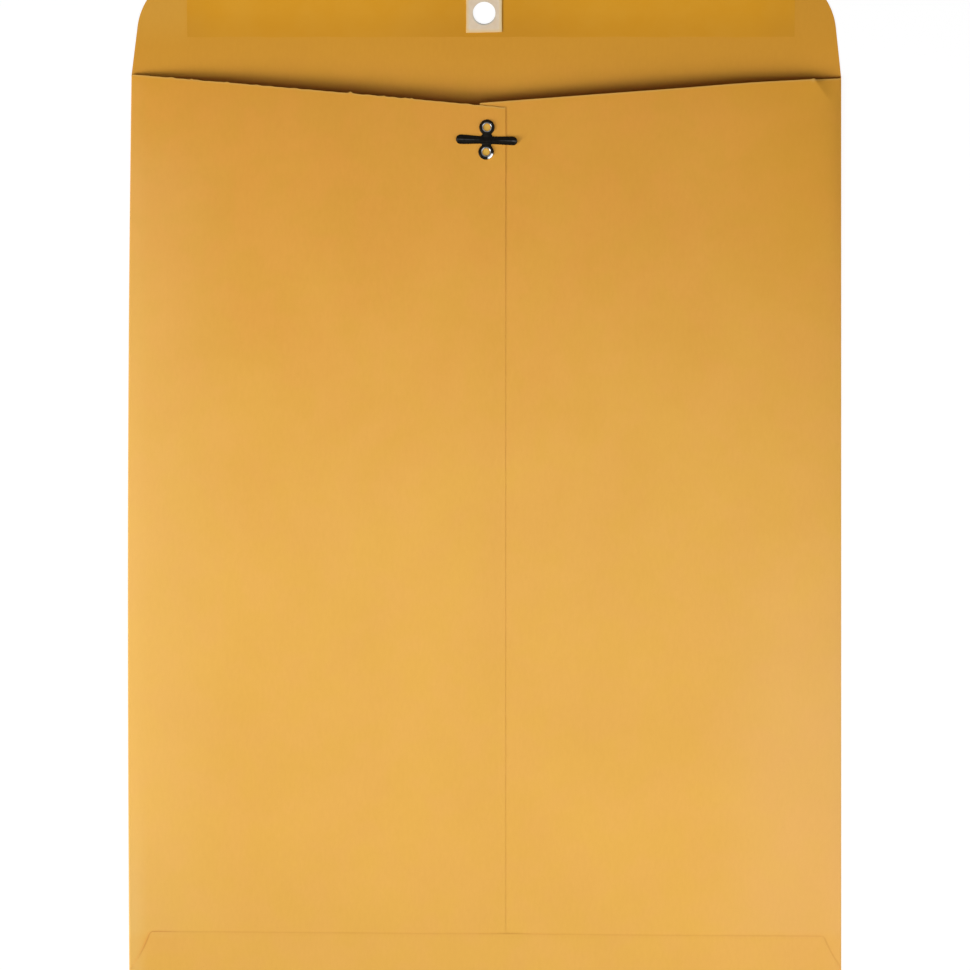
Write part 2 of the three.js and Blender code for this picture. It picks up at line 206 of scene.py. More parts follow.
BOW_SHARE = 0.45  # share of the height at which the left side bows out furthest
LEFT_BOW = 0.6 * MM
LEFT_DRAW_IN = 1.3 * MM  # how much further in the left side is at its top than at its bow
RIGHT_DRAW_IN = 0.15 * MM

SEAM_PRESS_RUN = 12 * MM  # width of the strip along the seam's cut edge that the press flattened
HARD_PRESS_Y = 110 * MM  # the press worked harder below here
HARD_PRESS_RUN = 70 * MM
SINK, HARD_SINK = 0.3, 0.55  # how far the edge sank, as shares of the glue's thickness
THIN_Y = 118 * MM  # it thinned the paper below here, which is below the clasp
THIN_RUN = 8 * MM
THINNING, HARD_THINNING = 0.4, 0.12  # shares of the paper's thickness

WAVE_HEIGHT = 0.18 * MM
WAVE_LENGTHS = (0.083, 0.061, 0.117, 0.047)
SIDE_CALM, SEAM_CALM, BOTTOM_CALM = 30 * MM, 25 * MM, 40 * MM  # over which the waves fade in


def bowed(x, y):
    """Moves x as the real sides run: the left one bows out in two parabolas that meet at its
    widest place, and the right one is straight. The move grows evenly from the middle out."""
    v = (y - BOTTOM_Y) / (FOLD_Y - BOTTOM_Y)
    above = LEFT_DRAW_IN * np.clip((v - BOW_SHARE) / (1 - BOW_SHARE), 0, None) ** 2
    below = LEFT_BOW * np.clip((BOW_SHARE - v) / BOW_SHARE, 0, None) ** 2
    left = np.clip(-x / HALF_WIDTH, 0, 1) * (above + below - LEFT_BOW)
    right = np.clip(x / HALF_WIDTH, 0, 1) * -RIGHT_DRAW_IN
    return x + left + right


def back_height(x, y):
    """Height of the back panels' underside: a short roll beside each side fold and then a long
    rise that levels out at the seam, faded in smoothly above the bottom flap."""
    inset = np.clip(PANEL_EDGE - np.abs(x), 0, RUN)
    roll = 1 - np.exp(-inset / ROLL_LENGTH)
    rise = 1 - (1 - inset / RUN) ** LEVELLING
    across = ROLL_SHARE * roll + (1 - ROLL_SHARE) * rise
    along = smooth((y - RISE_START_Y) / BOTTOM_RISE)
    return BACK_Z + PUFF * across * along


def over_lift(x):
    """Extra height of the over panel, which comes down to the side beside the lap."""
    return LAP * smooth((x + FLAT_HALF + LAP_RUN) / LAP_RUN)


def near_seam_edge(x):
    """1 at the over panel's cut edge, and 0 left of the strip that the press flattened."""
    return smooth((x - SEAM_X) / SEAM_PRESS_RUN + 1)


def hard_press(y):
    """0 high up the seam and 1 low down, where the press worked harder."""
    return smooth((HARD_PRESS_Y - y) / HARD_PRESS_RUN)


def seam_sink(x, y):
    """How far the over panel is pressed into the glue towards its cut edge, more so low down."""
    return GLUE * (SINK + HARD_SINK * hard_press(y)) * near_seam_edge(x)


def seam_thickness(x, y):
    """Share of its thickness that the paper keeps towards the over panel's cut edge. The press
    thinned it below the clasp, and a little more low down."""
    below_clasp = smooth((THIN_Y - y) / THIN_RUN)
    return 1 - (THINNING * below_clasp + HARD_THINNING * hard_press(y)) * near_seam_edge(x)


def stack_lift(x):
    """Extra height of the stack that the bottom flap lies on, highest at the lap."""
    return np.minimum(over_lift(x), LAP * smooth((SEAM_X + BRIDGE_RUN - x) / BRIDGE_RUN))


def unevenness(x, y):
    """How far the paper waves, nothing at the folds, at the seam and under the clasp."""
    inset = np.clip(PANEL_EDGE - np.abs(x), 0, None)
    free = smooth(inset / SIDE_CALM) * smooth((np.abs(x) - FLAT_HALF) / SEAM_CALM)
    free = free * smooth((y - RISE_START_Y) / BOTTOM_CALM)
    return WAVE_HEIGHT * free * waves(x, y, WAVE_LENGTHS, 0.6)


# The cut edges at the mouth

THROAT_CURVE = 1.08  # power of both edges' curve from the corner to the seam
LEFT_DEPTH = 10.5 * MM
RIGHT_DEPTH = 9.37 * MM
LEFT_CORNER_RISE = 0.7 * MM  # the cut edge starts this far above the fold at the left corner
RIGHT_CORNER_DROP = 0.45 * MM
CORNER_HUMP = 0.25 * MM
CORNER_HUMP_SHARE = 0.12  # how wide the hump is, as a share of the edge's length
LEFT_ROUGHNESS = 0.13 * MM
RIGHT_ROUGHNESS = 0.035 * MM
ROUGH_SHARE = 0.125  # the roughness fades in over this share of the edge's length
SWELL = 0.25 * MM  # the right edge swells a little at one place
SWELL_PLACE, SWELL_SHARE = 0.26, 0.14  # and how wide it swells, as shares of the edge's length
FACET_START = np.array([117.4, 145.2]) * MM  # the diagonal crease, from the mouth to the side
FACET_END = np.array([124.3, 135.6]) * MM
FACET_DROP = 0.2 * MM  # how much lower the edge lies right of the crease
UNDER_END_X = -2.1 * MM  # the under panel's corner is cut back to here at the mouth
CUT_BACK = 2.6 * MM
CUT_BACK_RUN = 0.35 * MM

# Torn tags of the cut edges: place, height and width in millimetres
LEFT_TAGS = (
    (-112.4, 0.22, 0.8),
    (-105.4, 0.4, 0.4),
    (-92.6, 0.4, 0.65),
    (-82.0, 0.16, 0.5),
    (-48.4, 0.72, 0.65),
    (-39.6, 0.2, 0.5),
    (-36.4, 0.4, 0.35),
    (-28.9, 0.25, 0.5),
    (-26.4, 0.4, 0.4),
)
RIGHT_TAGS = ((FACET_START[0] / MM - 0.4, 0.25, 0.55),)


def torn_tags(x, tags):
    """Height of the torn tags on a cut edge, each a narrow bell."""
    return sum(height * MM * bell((x / MM - place) / width) for place, height, width in tags)


def left_throat(x):
    """Top cut edge of the left panel: a power curve from the corner to the seam, with a small hump
    at the corner, a rough cut and a few torn tags."""
    s = np.clip((x + HALF_WIDTH) / HALF_WIDTH, 0, 2)
    corner = (LEFT_CORNER_RISE - CORNER_HUMP) * (1 - s) + CORNER_HUMP * bell(s / CORNER_HUMP_SHARE)
    rough = LEFT_ROUGHNESS * waves(x, 0 * x, [0.0031, 0.0083, 0.0047, 0.0019, 0.0013], 1.1)
    ragged = (rough + torn_tags(x, LEFT_TAGS)) * smooth(s / ROUGH_SHARE)
    return FOLD_Y + corner - LEFT_DEPTH * s**THROAT_CURVE + ragged


def right_throat(x):
    """Top cut edge of the right panel: a power curve too, with a smoother cut, a slight swell, one
    small tag where the diagonal crease starts, and the corner beyond the seam cut back."""
    s = np.clip((HALF_WIDTH - x) / HALF_WIDTH, 0, 2)
    rough = RIGHT_ROUGHNESS * waves(x, 0 * x, [0.0041, 0.0093, 0.0023, 0.0014], 2.3)
    ragged = rough * smooth(s / ROUGH_SHARE) + torn_tags(x, RIGHT_TAGS)
    curve = RIGHT_CORNER_DROP * (1 - s) + RIGHT_DEPTH * s**THROAT_CURVE
    swell = SWELL * bell((s - SWELL_PLACE) / SWELL_SHARE)
    bent = FACET_DROP * smooth((x - FACET_START[0]) / MM)
    cut_back = CUT_BACK * smooth((UNDER_END_X - x) / CUT_BACK_RUN)
    return FOLD_Y - curve + swell - bent - cut_back + ragged


# The back panels at the mouth

RIGHT_MOUTH_LIFT = 0.9 * MM  # how much higher a panel stands at its mouth
LEFT_MOUTH_LIFT = 0.3 * MM
MOUTH_START_Y = 95 * MM
MOUTH_RUN, MOUTH_SIDE_RUN, MOUTH_SEAM_RUN = 50 * MM, 35 * MM, 50 * MM  # over which it rises
TIGHT_ROLL_LENGTH = 3 * MM  # the right panel's roll near the mouth
TIGHT_ROLL_Y = 60 * MM
TIGHT_ROLL_RUN = 60 * MM
RIDGE = 0.65 * MM  # how far the diagonal crease stands up where it starts
RIDGE_RUN = 14 * MM
RIDGE_FOOT = 1.2 * MM  # how near the side fold the ridge comes down
CREASE_SHARE = 0.87  # how far along its line the diagonal crease reaches before it has died away
HOLLOW = 0.5 * MM  # how hollow the facet is, and how much more it is at the crease's start
START_HOLLOW = 1.2 * MM
START_SHARE = 0.2


def raised_mouth(x, y):
    """Share of a panel's extra height at the mouth: nothing at the side, the seam and the middle."""
    inset = np.clip(PANEL_EDGE - np.abs(x), 0, None)
    sideways = smooth(inset / MOUTH_SIDE_RUN) * smooth((np.abs(x) - FLAT_HALF) / MOUTH_SEAM_RUN)
    return sideways * smooth((y - MOUTH_START_Y) / MOUTH_RUN)


def left_panel_height(x, y):
    height = back_height(x, y) + over_lift(x) + unevenness(x, y) - seam_sink(x, y)
    return height + LEFT_MOUTH_LIFT * raised_mouth(x, y)


def right_rise(x, y):
    """Height of the right panel without its corner: the back's height with a tighter roll at the
    side near the mouth, where the panel stands higher."""
    inset = np.clip(PANEL_EDGE - x, 0, RUN)
    tighter = np.exp(-inset / ROLL_LENGTH) - np.exp(-inset / TIGHT_ROLL_LENGTH)
    near_mouth = smooth((y - TIGHT_ROLL_Y) / TIGHT_ROLL_RUN)
    height = back_height(x, y) + PUFF * ROLL_SHARE * tighter * near_mouth
    return height + RIGHT_MOUTH_LIFT * raised_mouth(x, y)


def right_panel_height(x, y):
    """The right panel's rise with a facet in its top corner. A ridge stands along the diagonal
    crease and dies away to the left of it. To the right straight lines, drawn a little hollow as
    parabolas, come down from the crease to the side. Ridge and facet fade out along the crease."""
    crease = FACET_END - FACET_START
    length = np.hypot(*crease)
    along = crease / length
    dx, dy = x - FACET_START[0], y - FACET_START[1]
    past = dy * along[0] - dx * along[1]
    t = np.clip((dx * along[0] + dy * along[1]) / length, 0, None)
    crease_x = FACET_START[0] + t * crease[0]
    crease_y = FACET_START[1] + t * crease[1]
    fade = np.clip(1 - t / CREASE_SHARE, 0, 1)
    stand = RIDGE * fade * (1 - np.exp(-np.clip(PANEL_EDGE - crease_x, 0, None) / RIDGE_FOOT))
    ridge = right_rise(x, y) + stand * np.exp(-np.abs(past) / RIDGE_RUN)
    drop = right_rise(crease_x, crease_y) + stand - BACK_Z
    right_of = np.clip(past, 0, None)
    share = right_of / (right_of + np.clip(PANEL_EDGE - x, 0, None) + TINY)
    depth = HOLLOW + START_HOLLOW * np.clip(1 - t / START_SHARE, 0, 1)
    hollow = depth * 4 * share * (1 - share)
    facet = BACK_Z + np.clip(drop * (1 - share) - hollow, 0, None)
    return ridge + (facet - ridge) * (past > 0) * fade


# The pocket's sheet

LEFT_COLUMNS, RIGHT_COLUMNS = 300, 190
LEFT_CROWDING, RIGHT_CROWDING = 1.15, 1.5  # powers that crowd a panel's columns towards its side
SEAM_COLUMNS = 80
FRONT_COLUMNS = 40
FOLD_COLUMNS = 9
CUT_SHARE = 0.9985  # share of a column's length past which it counts as the cut edge
INSIDE_SHADE_TONE = 0.5  # how dark the painted shade on the front panel is under the back ones
INSIDE_SHADE_RUN = 3.5 * MM
CREASE_HIGHLIGHT_PLACE = FACET_START + np.array([-0.5, -0.3]) * MM  # a painted highlight at the crease's start
CREASE_HIGHLIGHT_TONE = 1.6
CREASE_HIGHLIGHT_RADIUS = 0.7 * MM


def row_shares():
    """Places of the rows as shares of a column's length, closer together towards the cut edge."""
    coarse = np.linspace(0, 0.9, 30)[:-1]
    between = np.linspace(0.9, 0.962, 12)[:-1]
    fine = np.linspace(0.962, 0.9965, 24)
    return np.concatenate([coarse, between, fine, [0.9977, 0.9989, 1]])[:, None]


def panel_grid(v, xs, throat, height, thickness=None):
    """Outer and inner face of a panel, whose columns run up to its cut edge."""
    x = np.broadcast_to(xs, (len(v), len(xs)))
    y = ROW_Y + (throat(xs) - ROW_Y) * v
    z = height(x, y)
    share = 1 if thickness is None else thickness(x, y)
    outer = np.stack([bowed(x, y), y, z + PAPER * share], axis=-1)
    return outer, np.stack([bowed(x, y), y, z], axis=-1)


def fold_grid(v, side, first, last, corner_y):
    """Outer and inner face of a side fold: half a round tube, from one angle to another. Its cut
    end runs from the front panel's edge, level up to the middle, to the back panel's corner."""
    angle = np.radians(np.linspace(first, last, FOLD_COLUMNS + 2))[1:-1]
    top_y = FOLD_Y + (corner_y - FOLD_Y) * smooth(np.sin(angle))
    y = ROW_Y + (top_y - ROW_Y) * v
    faces = []
    for radius in (FOLD_RADIUS, FOLD_RADIUS - PAPER):
        x = side * (PANEL_EDGE + radius * np.cos(angle))
        z = np.broadcast_to(FOLD_RADIUS + radius * np.sin(angle), y.shape)
        faces.append(np.stack([bowed(np.broadcast_to(x, y.shape), y), y, z], axis=-1))
    return faces


def pocket_sheet():
    """The wrapped sheet: right panel, right side fold, front panel, left side fold, left panel.

    Columns run along the sheet's cross-section, and rows from the bottom fold to the cut edge.
    """
    v = row_shares()
    left_inset = RUN * np.linspace(0, 1, LEFT_COLUMNS) ** LEFT_CROWDING
    right_inset = RUN * np.linspace(0, 1, RIGHT_COLUMNS) ** RIGHT_CROWDING
    flat = np.linspace(-FLAT_HALF, FLAT_HALF, SEAM_COLUMNS)
    over_flat = flat[(flat > -FLAT_HALF) & (flat < SEAM_X)]
    under_flat = flat[(flat > UNDER_SEAM_X) & (flat < FLAT_HALF)]
    left_xs = np.concatenate([left_inset - PANEL_EDGE, over_flat, [SEAM_X]])
    right_xs = np.concatenate([[UNDER_SEAM_X], under_flat, (PANEL_EDGE - right_inset)[::-1]])
    front_xs = np.linspace(PANEL_EDGE, -PANEL_EDGE, FRONT_COLUMNS)
    front_over, front_under = panel_grid(
        v, front_xs, lambda x: FOLD_Y + 0 * x, lambda x, y: np.zeros(x.shape)
    )
    parts = [
        panel_grid(v, right_xs, right_throat, right_panel_height),
        fold_grid(v, 1, 90, -90, FOLD_Y - RIGHT_CORNER_DROP),
        (front_under, front_over),
        fold_grid(v, -1, -90, 90, FOLD_Y + LEFT_CORNER_RISE),
        panel_grid(v, left_xs, left_throat, left_panel_height, seam_thickness),
    ]
    outer = np.concatenate([part[0] for part in parts], axis=1)
    inner = np.concatenate([part[1] for part in parts], axis=1)

    near_cut = (v > CUT_SHARE) * 1.0
    off_crease_highlight = np.hypot(*np.moveaxis(outer[:, :len(right_xs), :2] - CREASE_HIGHLIGHT_PLACE, -1, 0))
    cut_y = np.where(front_xs < 0, left_throat(front_xs), right_throat(front_xs))
    front_y = ROW_Y + (FOLD_Y - ROW_Y) * v
    inside = smooth((cut_y + INSIDE_SHADE_RUN - front_y) / INSIDE_SHADE_RUN)
    front = len(right_xs) + FOLD_COLUMNS
    rim = np.zeros(outer.shape[:2])
    # Paler cut edges on the right panel, and a painted highlight at the diagonal crease's start
    rim[:, :len(right_xs)] = near_cut + CREASE_HIGHLIGHT_TONE * bell(off_crease_highlight / CREASE_HIGHLIGHT_RADIUS)
    # Painted shade on the front panel where the back panels cover it
    rim[:, front:front + FRONT_COLUMNS] = -INSIDE_SHADE_TONE * inside
    rim[:, -len(left_xs):] = near_cut
    piece = sheet_piece("kraft_pocket", outer, inner, rim=rim)
    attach(piece, "pocket")
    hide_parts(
        "front_panel", "left_side_fold", "right_side_fold", "left_back_panel", "right_back_panel"
    )
    return piece


def glue_film(name, node, outer, inner):
    """A film of glue in the pocket, from its upper and its lower face."""
    piece = sheet_piece(name, outer, inner)
    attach(piece, "pocket")
    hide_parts(node)
    return piece


def seam_film():
    """The glue between the two back panels, level with the rise of the seam."""
    half = SEAM_GLUE_HALF
    xs = np.linspace(-half, half, 25)
    top_y = min(left_throat(half), right_throat(-half)) - 0.4 * MM
    y = np.linspace(ROW_Y, top_y, 90)[:, None] + 0 * xs
    x = np.broadcast_to(xs, y.shape)
    under = back_height(0 * x, y) + PAPER
    outer = np.stack([x, y, under + GLUE - seam_sink(x, y)], axis=-1)
    return glue_film("seam_glue_film", "seam_glue", outer, np.stack([x, y, under], axis=-1))


# The bottom flap

FLAP_UNDER_Z = BACK_Z + PAPER + GLUE
BOTTOM_TOP_Y = BOTTOM_FLAP_HIGH.y + 0.3 * MM
BOTTOM_TILT = 0.0074  # the free edge falls a little towards the right
BOTTOM_CORNER = 1.3 * MM
LEFT_TOP_X = -119.5 * MM
RIGHT_TOP_X = 120.6 * MM
LEFT_TAPER = 0.36
RIGHT_TAPER = 0.38
TAPER_FLARE = 0.012 / MM  # the sides also flare with the square of the distance from the top

# Runs of smooth steps, each as its start and its length
LOOSE_TO_STUCK = (LEFT_TOP_X - 18 * MM, 16 * MM)
LOOSE_RISE = (ROW_Y, 12 * MM)
TO_PRESSED_RIGHT = (RIGHT_TOP_X - 24 * MM, 20 * MM)
TO_PRESSED_TOP = (BOTTOM_TOP_Y - 3 * MM, 3 * MM)
PRESSED_RISE = (ROW_Y, 6 * MM)
CORNER_LINE = (LEFT_TOP_X + 3 * MM, 9 * MM)
SIDE_LINE = (5 * MM, 6 * MM)
THIN_EDGE = 1.3 * MM

LOOSE_LIFT = 0.3 * MM  # how far the loose left end stands up
PRESSED = 0.8  # how far the right end and the free edge sank, as a share of the glue's thickness
TOP_THINNING, RIGHT_THINNING = 0.45, 0.4  # shares of the paper's thickness
EDGE_SHADE, CORNER_SHADE, SIDE_SHADE = 0.1, 0.3, 0.36  # how dark the painted shadow lines along its edges are
EDGE_LINE = 0.35 * MM
EDGE_COLUMNS = 0.995  # a row's columns past this share of its half length are the side line


def bottom_flap_sheet():
    """The bottom fold and the tapered flap above it, as one sheet.

    A column starts at the front panel, goes half round the fold and then up the back. A row's
    ends keep to the tapered sides, and draw in along a circle at the two free corners.
    """
    end = np.array([0.0, 0.0028, 0.0056, 0.012])
    us = np.concatenate([end - 1, np.linspace(-0.97, 0.97, 98), 1 - end[::-1]])[None, :]
    angle = np.radians(np.linspace(-90, 90, 13))[:, None]
    reach = ROW_Y - BOTTOM_Y
    arc_x = PANEL_EDGE * us + 0 * angle
    half = (FLAP_UNDER_Z + stack_lift(arc_x) + PAPER) / 2

    def arc(offset):
        y = ROW_Y - (reach - offset) * np.cos(angle) + 0 * us
        z = half + (half - offset) * np.sin(angle)
        return np.stack([bowed(arc_x, y), y, z], axis=-1)

    straight = np.linspace(0, 1, 26)[1:]
    corner = np.sin(np.linspace(0, np.pi / 2, 12))[1:]
    level_y = BOTTOM_TOP_Y - BOTTOM_CORNER
    heights = np.concatenate([ROW_Y + (level_y - ROW_Y) * straight, level_y + BOTTOM_CORNER * corner])
    rounding = np.concatenate([0 * straight, BOTTOM_CORNER * (1 - np.sqrt(1 - corner**2))])
    heights, rounding = heights[:, None], rounding[:, None]
    from_top = BOTTOM_TOP_Y - heights
    flare = TAPER_FLARE * from_top**2
    low_x = np.maximum(LEFT_TOP_X - LEFT_TAPER * from_top - flare, -PANEL_EDGE) + rounding
    high_x = np.minimum(RIGHT_TOP_X + RIGHT_TAPER * from_top + flare, PANEL_EDGE) - rounding
    x = low_x + (high_x - low_x) * (us + 1) / 2
    tilt = BOTTOM_TILT * smooth((heights - ROW_Y) / (BOTTOM_TOP_Y - ROW_Y))
    y = heights - tilt * x

    stuck = ramp(x, LOOSE_TO_STUCK)
    lift = LOOSE_LIFT * (1 - stuck) * ramp(heights, LOOSE_RISE)
    pressed = np.maximum(ramp(x, TO_PRESSED_RIGHT), ramp(heights, TO_PRESSED_TOP) * stuck)
    sink = GLUE * PRESSED * pressed * ramp(heights, PRESSED_RISE)
    under = FLAP_UNDER_Z + stack_lift(x) + lift - sink
    near_top = ramp(heights, (BOTTOM_TOP_Y - THIN_EDGE, THIN_EDGE)) * stuck
    near_right = ramp(x, (high_x - THIN_EDGE, THIN_EDGE))
    over = under + PAPER * (1 - np.maximum(TOP_THINNING * near_top, RIGHT_THINNING * near_right))
    outer = np.concatenate([arc(0), np.stack([bowed(x, y), y, over], axis=-1)])
    inner = np.concatenate([arc(PAPER), np.stack([bowed(x, y), y, under], axis=-1)])

    # Painted shadow lines along the free top edge, darkest near the left corner, and along the left
    # side near the top
    top_shadow_line = (EDGE_SHADE + CORNER_SHADE * (1 - ramp(x, CORNER_LINE))) * (from_top < EDGE_LINE)
    side_shadow_line = SIDE_SHADE * (us < -EDGE_COLUMNS) * (1 - ramp(from_top, SIDE_LINE))
    rim = np.zeros(outer.shape[:2])
    rim[-len(heights):] = -np.maximum(top_shadow_line, side_shadow_line)
    piece = sheet_piece("kraft_bottom_flap", outer, inner, rim=rim)
    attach(piece, "pocket")
    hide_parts("bottom_fold", "bottom_flap")
    return piece


def bottom_film():
    """The glue under the bottom flap, level with the panels below and the flap above. Two of its
    columns lie close together at the seam, where the panels below step down."""
    evenly = np.linspace(BOTTOM_GLUE_LOW.x, BOTTOM_GLUE_HIGH.x, 60)
    xs = np.unique(np.concatenate([evenly, [SEAM_X - 0.01 * MM, SEAM_X]]))
    y = np.linspace(BOTTOM_GLUE_LOW.y, BOTTOM_GLUE_HIGH.y, 4)[:, None] + 0 * xs
    x = np.broadcast_to(xs, y.shape)
    under = BACK_Z + PAPER + np.where(x < SEAM_X, over_lift(x), 0)
    outer = np.stack([x, y, FLAP_UNDER_Z + stack_lift(x)], axis=-1)
    return glue_film("bottom_glue_film", "bottom_flap_glue", outer, np.stack([x, y, under], axis=-1))


# The closure flap

FLAP_LENGTH = FLAP_HIGH.y - FOLD_Y
FLAP_CORNER = 23 * MM
LEFT_ROOT_X = -126.35 * MM
RIGHT_ROOT_X = 126.8 * MM
LEFT_FLAP_TAPER = 0.123
RIGHT_FLAP_TAPER = 0.106
FLAP_STRAIGHT = 20 * MM  # columns nearer the middle than this stay straight
TIP_RUN = 7 * MM  # rows crowd together over this length towards the tip
HOLE_RADIUS = 4.05 * MM
PUNCH_BURR = 0.05 * MM  # the punch leaves the hole narrower on the flap's outer side
PUNCH_LEAN = 0.15 * MM  # and went through at a slight slant
HOLE_CELLS = 16  # cells of the grid along one side of the block that the hole takes out
BLOCK_SHARE = 0.86  # half the block's side, as a share of the hole's radius
FADE_SHARE = 2.1  # how far from the centre points still move, as a share of the hole's radius


def flap_side(distance, root_x, taper):
    """X of the flap's outline at a distance from the fold: a tapered side and a round corner.

    The corner's circle touches the tapered side and the tip.
    """
    sign = math.copysign(1, root_x)
    lean = math.atan(taper)
    centre_d = FLAP_LENGTH - FLAP_CORNER
    centre_x = abs(root_x) - taper * centre_d - FLAP_CORNER / math.cos(lean)
    touch = centre_d + FLAP_CORNER * math.sin(lean)
    side = abs(root_x) - taper * distance
    up = np.clip((distance - centre_d) / FLAP_CORNER, 0, 1)
    corner = centre_x + FLAP_CORNER * np.sqrt(1 - up**2)
    return sign * np.where(distance < touch, side, corner)


def holed_grid(xs, ys):
    """A grid of points with the flap's round hole: the block of cells at the hole's centre is left
    out, and points near it move along their own direction until the block's edge is a circle.

    The move fades out with the square distance from the centre, inside the nearest edge."""
    x, y = np.meshgrid(xs, ys)
    dx, dy = x - HOLE.x, y - HOLE.y
    square = np.maximum(np.abs(dx), np.abs(dy))
    block = HOLE_RADIUS * BLOCK_SHARE
    nearest = min(HOLE.x - xs[0], xs[-1] - HOLE.x, HOLE.y - ys[0], ys[-1] - HOLE.y)
    fade = min(FADE_SHARE * HOLE_RADIUS, 0.97 * nearest)
    share = np.clip((fade - square) / (fade - block), 0, 1)
    distance = np.maximum(np.hypot(dx, dy), TINY)
    scale = (1 - share) + share * (HOLE_RADIUS / block) * square / distance
    middle_x = (xs[:-1] + xs[1:]) / 2 - HOLE.x
    middle_y = (ys[:-1] + ys[1:]) / 2 - HOLE.y
    inside = (np.abs(middle_x)[None, :] < block) & (np.abs(middle_y)[:, None] < block)
    return HOLE.x + dx * scale, HOLE.y + dy * scale, ~inside


def lines_round_hole(low, high, centre, spacing):
    """Grid lines from low to high, fine at the hole so that its block has whole cells."""
    cell = 2 * HOLE_RADIUS * BLOCK_SHARE / HOLE_CELLS
    fine = centre + cell * np.arange(-1.5 * HOLE_CELLS, 1.5 * HOLE_CELLS + 0.5)
    fine = fine[(fine > low + cell / 2) & (fine < high - cell / 2)]
    before = np.linspace(low, fine[0], max(2, int((fine[0] - low) / spacing) + 2))[:-1]
    after = np.linspace(fine[-1], high, max(2, int((high - fine[-1]) / spacing) + 2))[1:]
    return np.concatenate([before, fine, after])


def closure_flap_sheet():
    """The flap with its scored root, flat, with the hole from the punch, tapered and round at the tip.

    The outer columns are drawn in, row by row, until the last one lies on the outline.
    """
    reach = FLAP_STRAIGHT
    xs = lines_round_hole(LEFT_ROOT_X, RIGHT_ROOT_X, HOLE.x, 4 * MM)
    ys = lines_round_hole(FOLD_Y, FLAP_HIGH.y, HOLE.y, 1.2 * MM)
    root = np.linspace(FOLD_Y, CREASE_HIGH.y + MM, 16)
    tip = FLAP_HIGH.y - TIP_RUN * (1 - np.sin(np.linspace(0, np.pi / 2, 22)))
    ys = np.concatenate([root, ys[(ys > root[-1] + 0.5 * MM) & (ys < tip[0] - 0.2 * MM)], tip])
    x, y, keep = holed_grid(xs, ys)
    distance = np.clip(y - FOLD_Y, 0, FLAP_LENGTH)
    left = flap_side(distance, LEFT_ROOT_X, LEFT_FLAP_TAPER)
    right = flap_side(distance, RIGHT_ROOT_X, RIGHT_FLAP_TAPER)
    pulled_left = -reach + (x + reach) * (left + reach) / (LEFT_ROOT_X + reach)
    pulled_right = reach + (x - reach) * (right - reach) / (RIGHT_ROOT_X - reach)
    x = np.where(x < -reach, pulled_left, np.where(x > reach, pulled_right, x))
    outer = np.stack([x, y, PAPER + 0 * x], axis=-1)
    off_x, off_y = x - HOLE.x, y - HOLE.y
    off = np.maximum(np.hypot(off_x, off_y), TINY)
    near = np.clip(2 - off / HOLE_RADIUS, 0, 1)
    inner_x = x - off_x * near * PUNCH_BURR / off
    inner_y = y - off_y * near * PUNCH_BURR / off + near * PUNCH_LEAN
    inner = np.stack([inner_x, inner_y, 0 * x], axis=-1)
    piece = sheet_piece("kraft_closure_flap", outer, inner, keep)
    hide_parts("closure_flap", "top_fold_crease")
    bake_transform(piece)
    return piece


# The gum and the patch

GUM_CORNERS = ((-106.5 * MM, FOLD_Y + 14.1 * MM), (110.3 * MM, GUM_HIGH.y))
GUM_WAVE = 0.16 * MM
GUM_Z = PAPER + 0.03 * MM
PATCH_CORNERS = ((-6.95 * MM, FOLD_Y + 15.75 * MM), (5.78 * MM, PATCH_HIGH.y))
PATCH_WAVE = 0.06 * MM
PATCH_Z = GUM_Z + 0.12 * MM
PATCH_LEAN = 0.024
PATCH_CURL = 0.18 * MM
FILM_SPACING = 2 * MM
EDGE_POWER = 9  # a film's waves die away from its outline with this power of the distance
LEAN_POWER = 3
CURL_START = 0.8  # the right edge curls up from here, where 1 is the edge


def film_with_hole(name, corners, edge_wave, low_z, high_z, seed, lean=0.0, curl=0.0):
    """A thin film on the flap with a wavy outline and the flap's hole through it.

    Its upper and lower edges lean, and its right edge curls up."""
    (low_x, low_y), (high_x, high_y) = corners
    xs = lines_round_hole(low_x, high_x, HOLE.x, FILM_SPACING)
    ys = lines_round_hole(low_y, high_y, HOLE.y, FILM_SPACING)
    x, y, keep = holed_grid(xs, ys)
    across = (x - low_x) / (high_x - low_x) * 2 - 1
    along = (y - low_y) / (high_y - low_y) * 2 - 1
    side = edge_wave * waves(0 * y, y, [0.0043, 0.0121, 0.0079], seed)
    end = edge_wave * waves(x, 0 * x, [0.0057, 0.0213, 0.0117], seed + 1)
    x = x + side * np.sign(across) * np.abs(across) ** EDGE_POWER
    leaning = lean * (x - HOLE.x) * np.abs(along) ** LEAN_POWER
    y = y + end * np.sign(along) * np.abs(along) ** EDGE_POWER + leaning
    curled = curl * smooth((across - CURL_START) / (1 - CURL_START))
    outer = np.stack([x, y, high_z + curled], axis=-1)
    inner = np.stack([x, y, low_z + curled], axis=-1)
    piece = sheet_piece(name, outer, inner, keep)
    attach(piece, "flap")
    return piece


def gum_film():
    piece = film_with_hole("dry_gum_film", GUM_CORNERS, GUM_WAVE, PAPER, GUM_Z, 0.4)
    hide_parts("flap_gum_band")
    return piece


def hole_patch():
    piece = film_with_hole(
        "hole_patch", PATCH_CORNERS, PATCH_WAVE, GUM_Z, PATCH_Z, 2.2, lean=PATCH_LEAN, curl=PATCH_CURL
    )
    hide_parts("flap_patch")
    return piece


# The clasp

CLASP_TURN = math.radians(-2)
METAL = 0.3 * MM

RING_SHIFT = -0.07 * MM  # the rings sit a little left of the neck's middle
RING_OUTER = 2.76 * MM
RING_CREST = 2.25 * MM
RING_HEIGHT = 0.62 * MM
BORE = 1.3 * MM
BARREL_WALL = 0.22 * MM

# Points of the clinched end: how far outside the bore and how deep, in millimetres
CLINCH = ((0, 0.15), (0.3, 0.3), (1.0, 0.28), (1.2, 0.12), (1.15, 0))

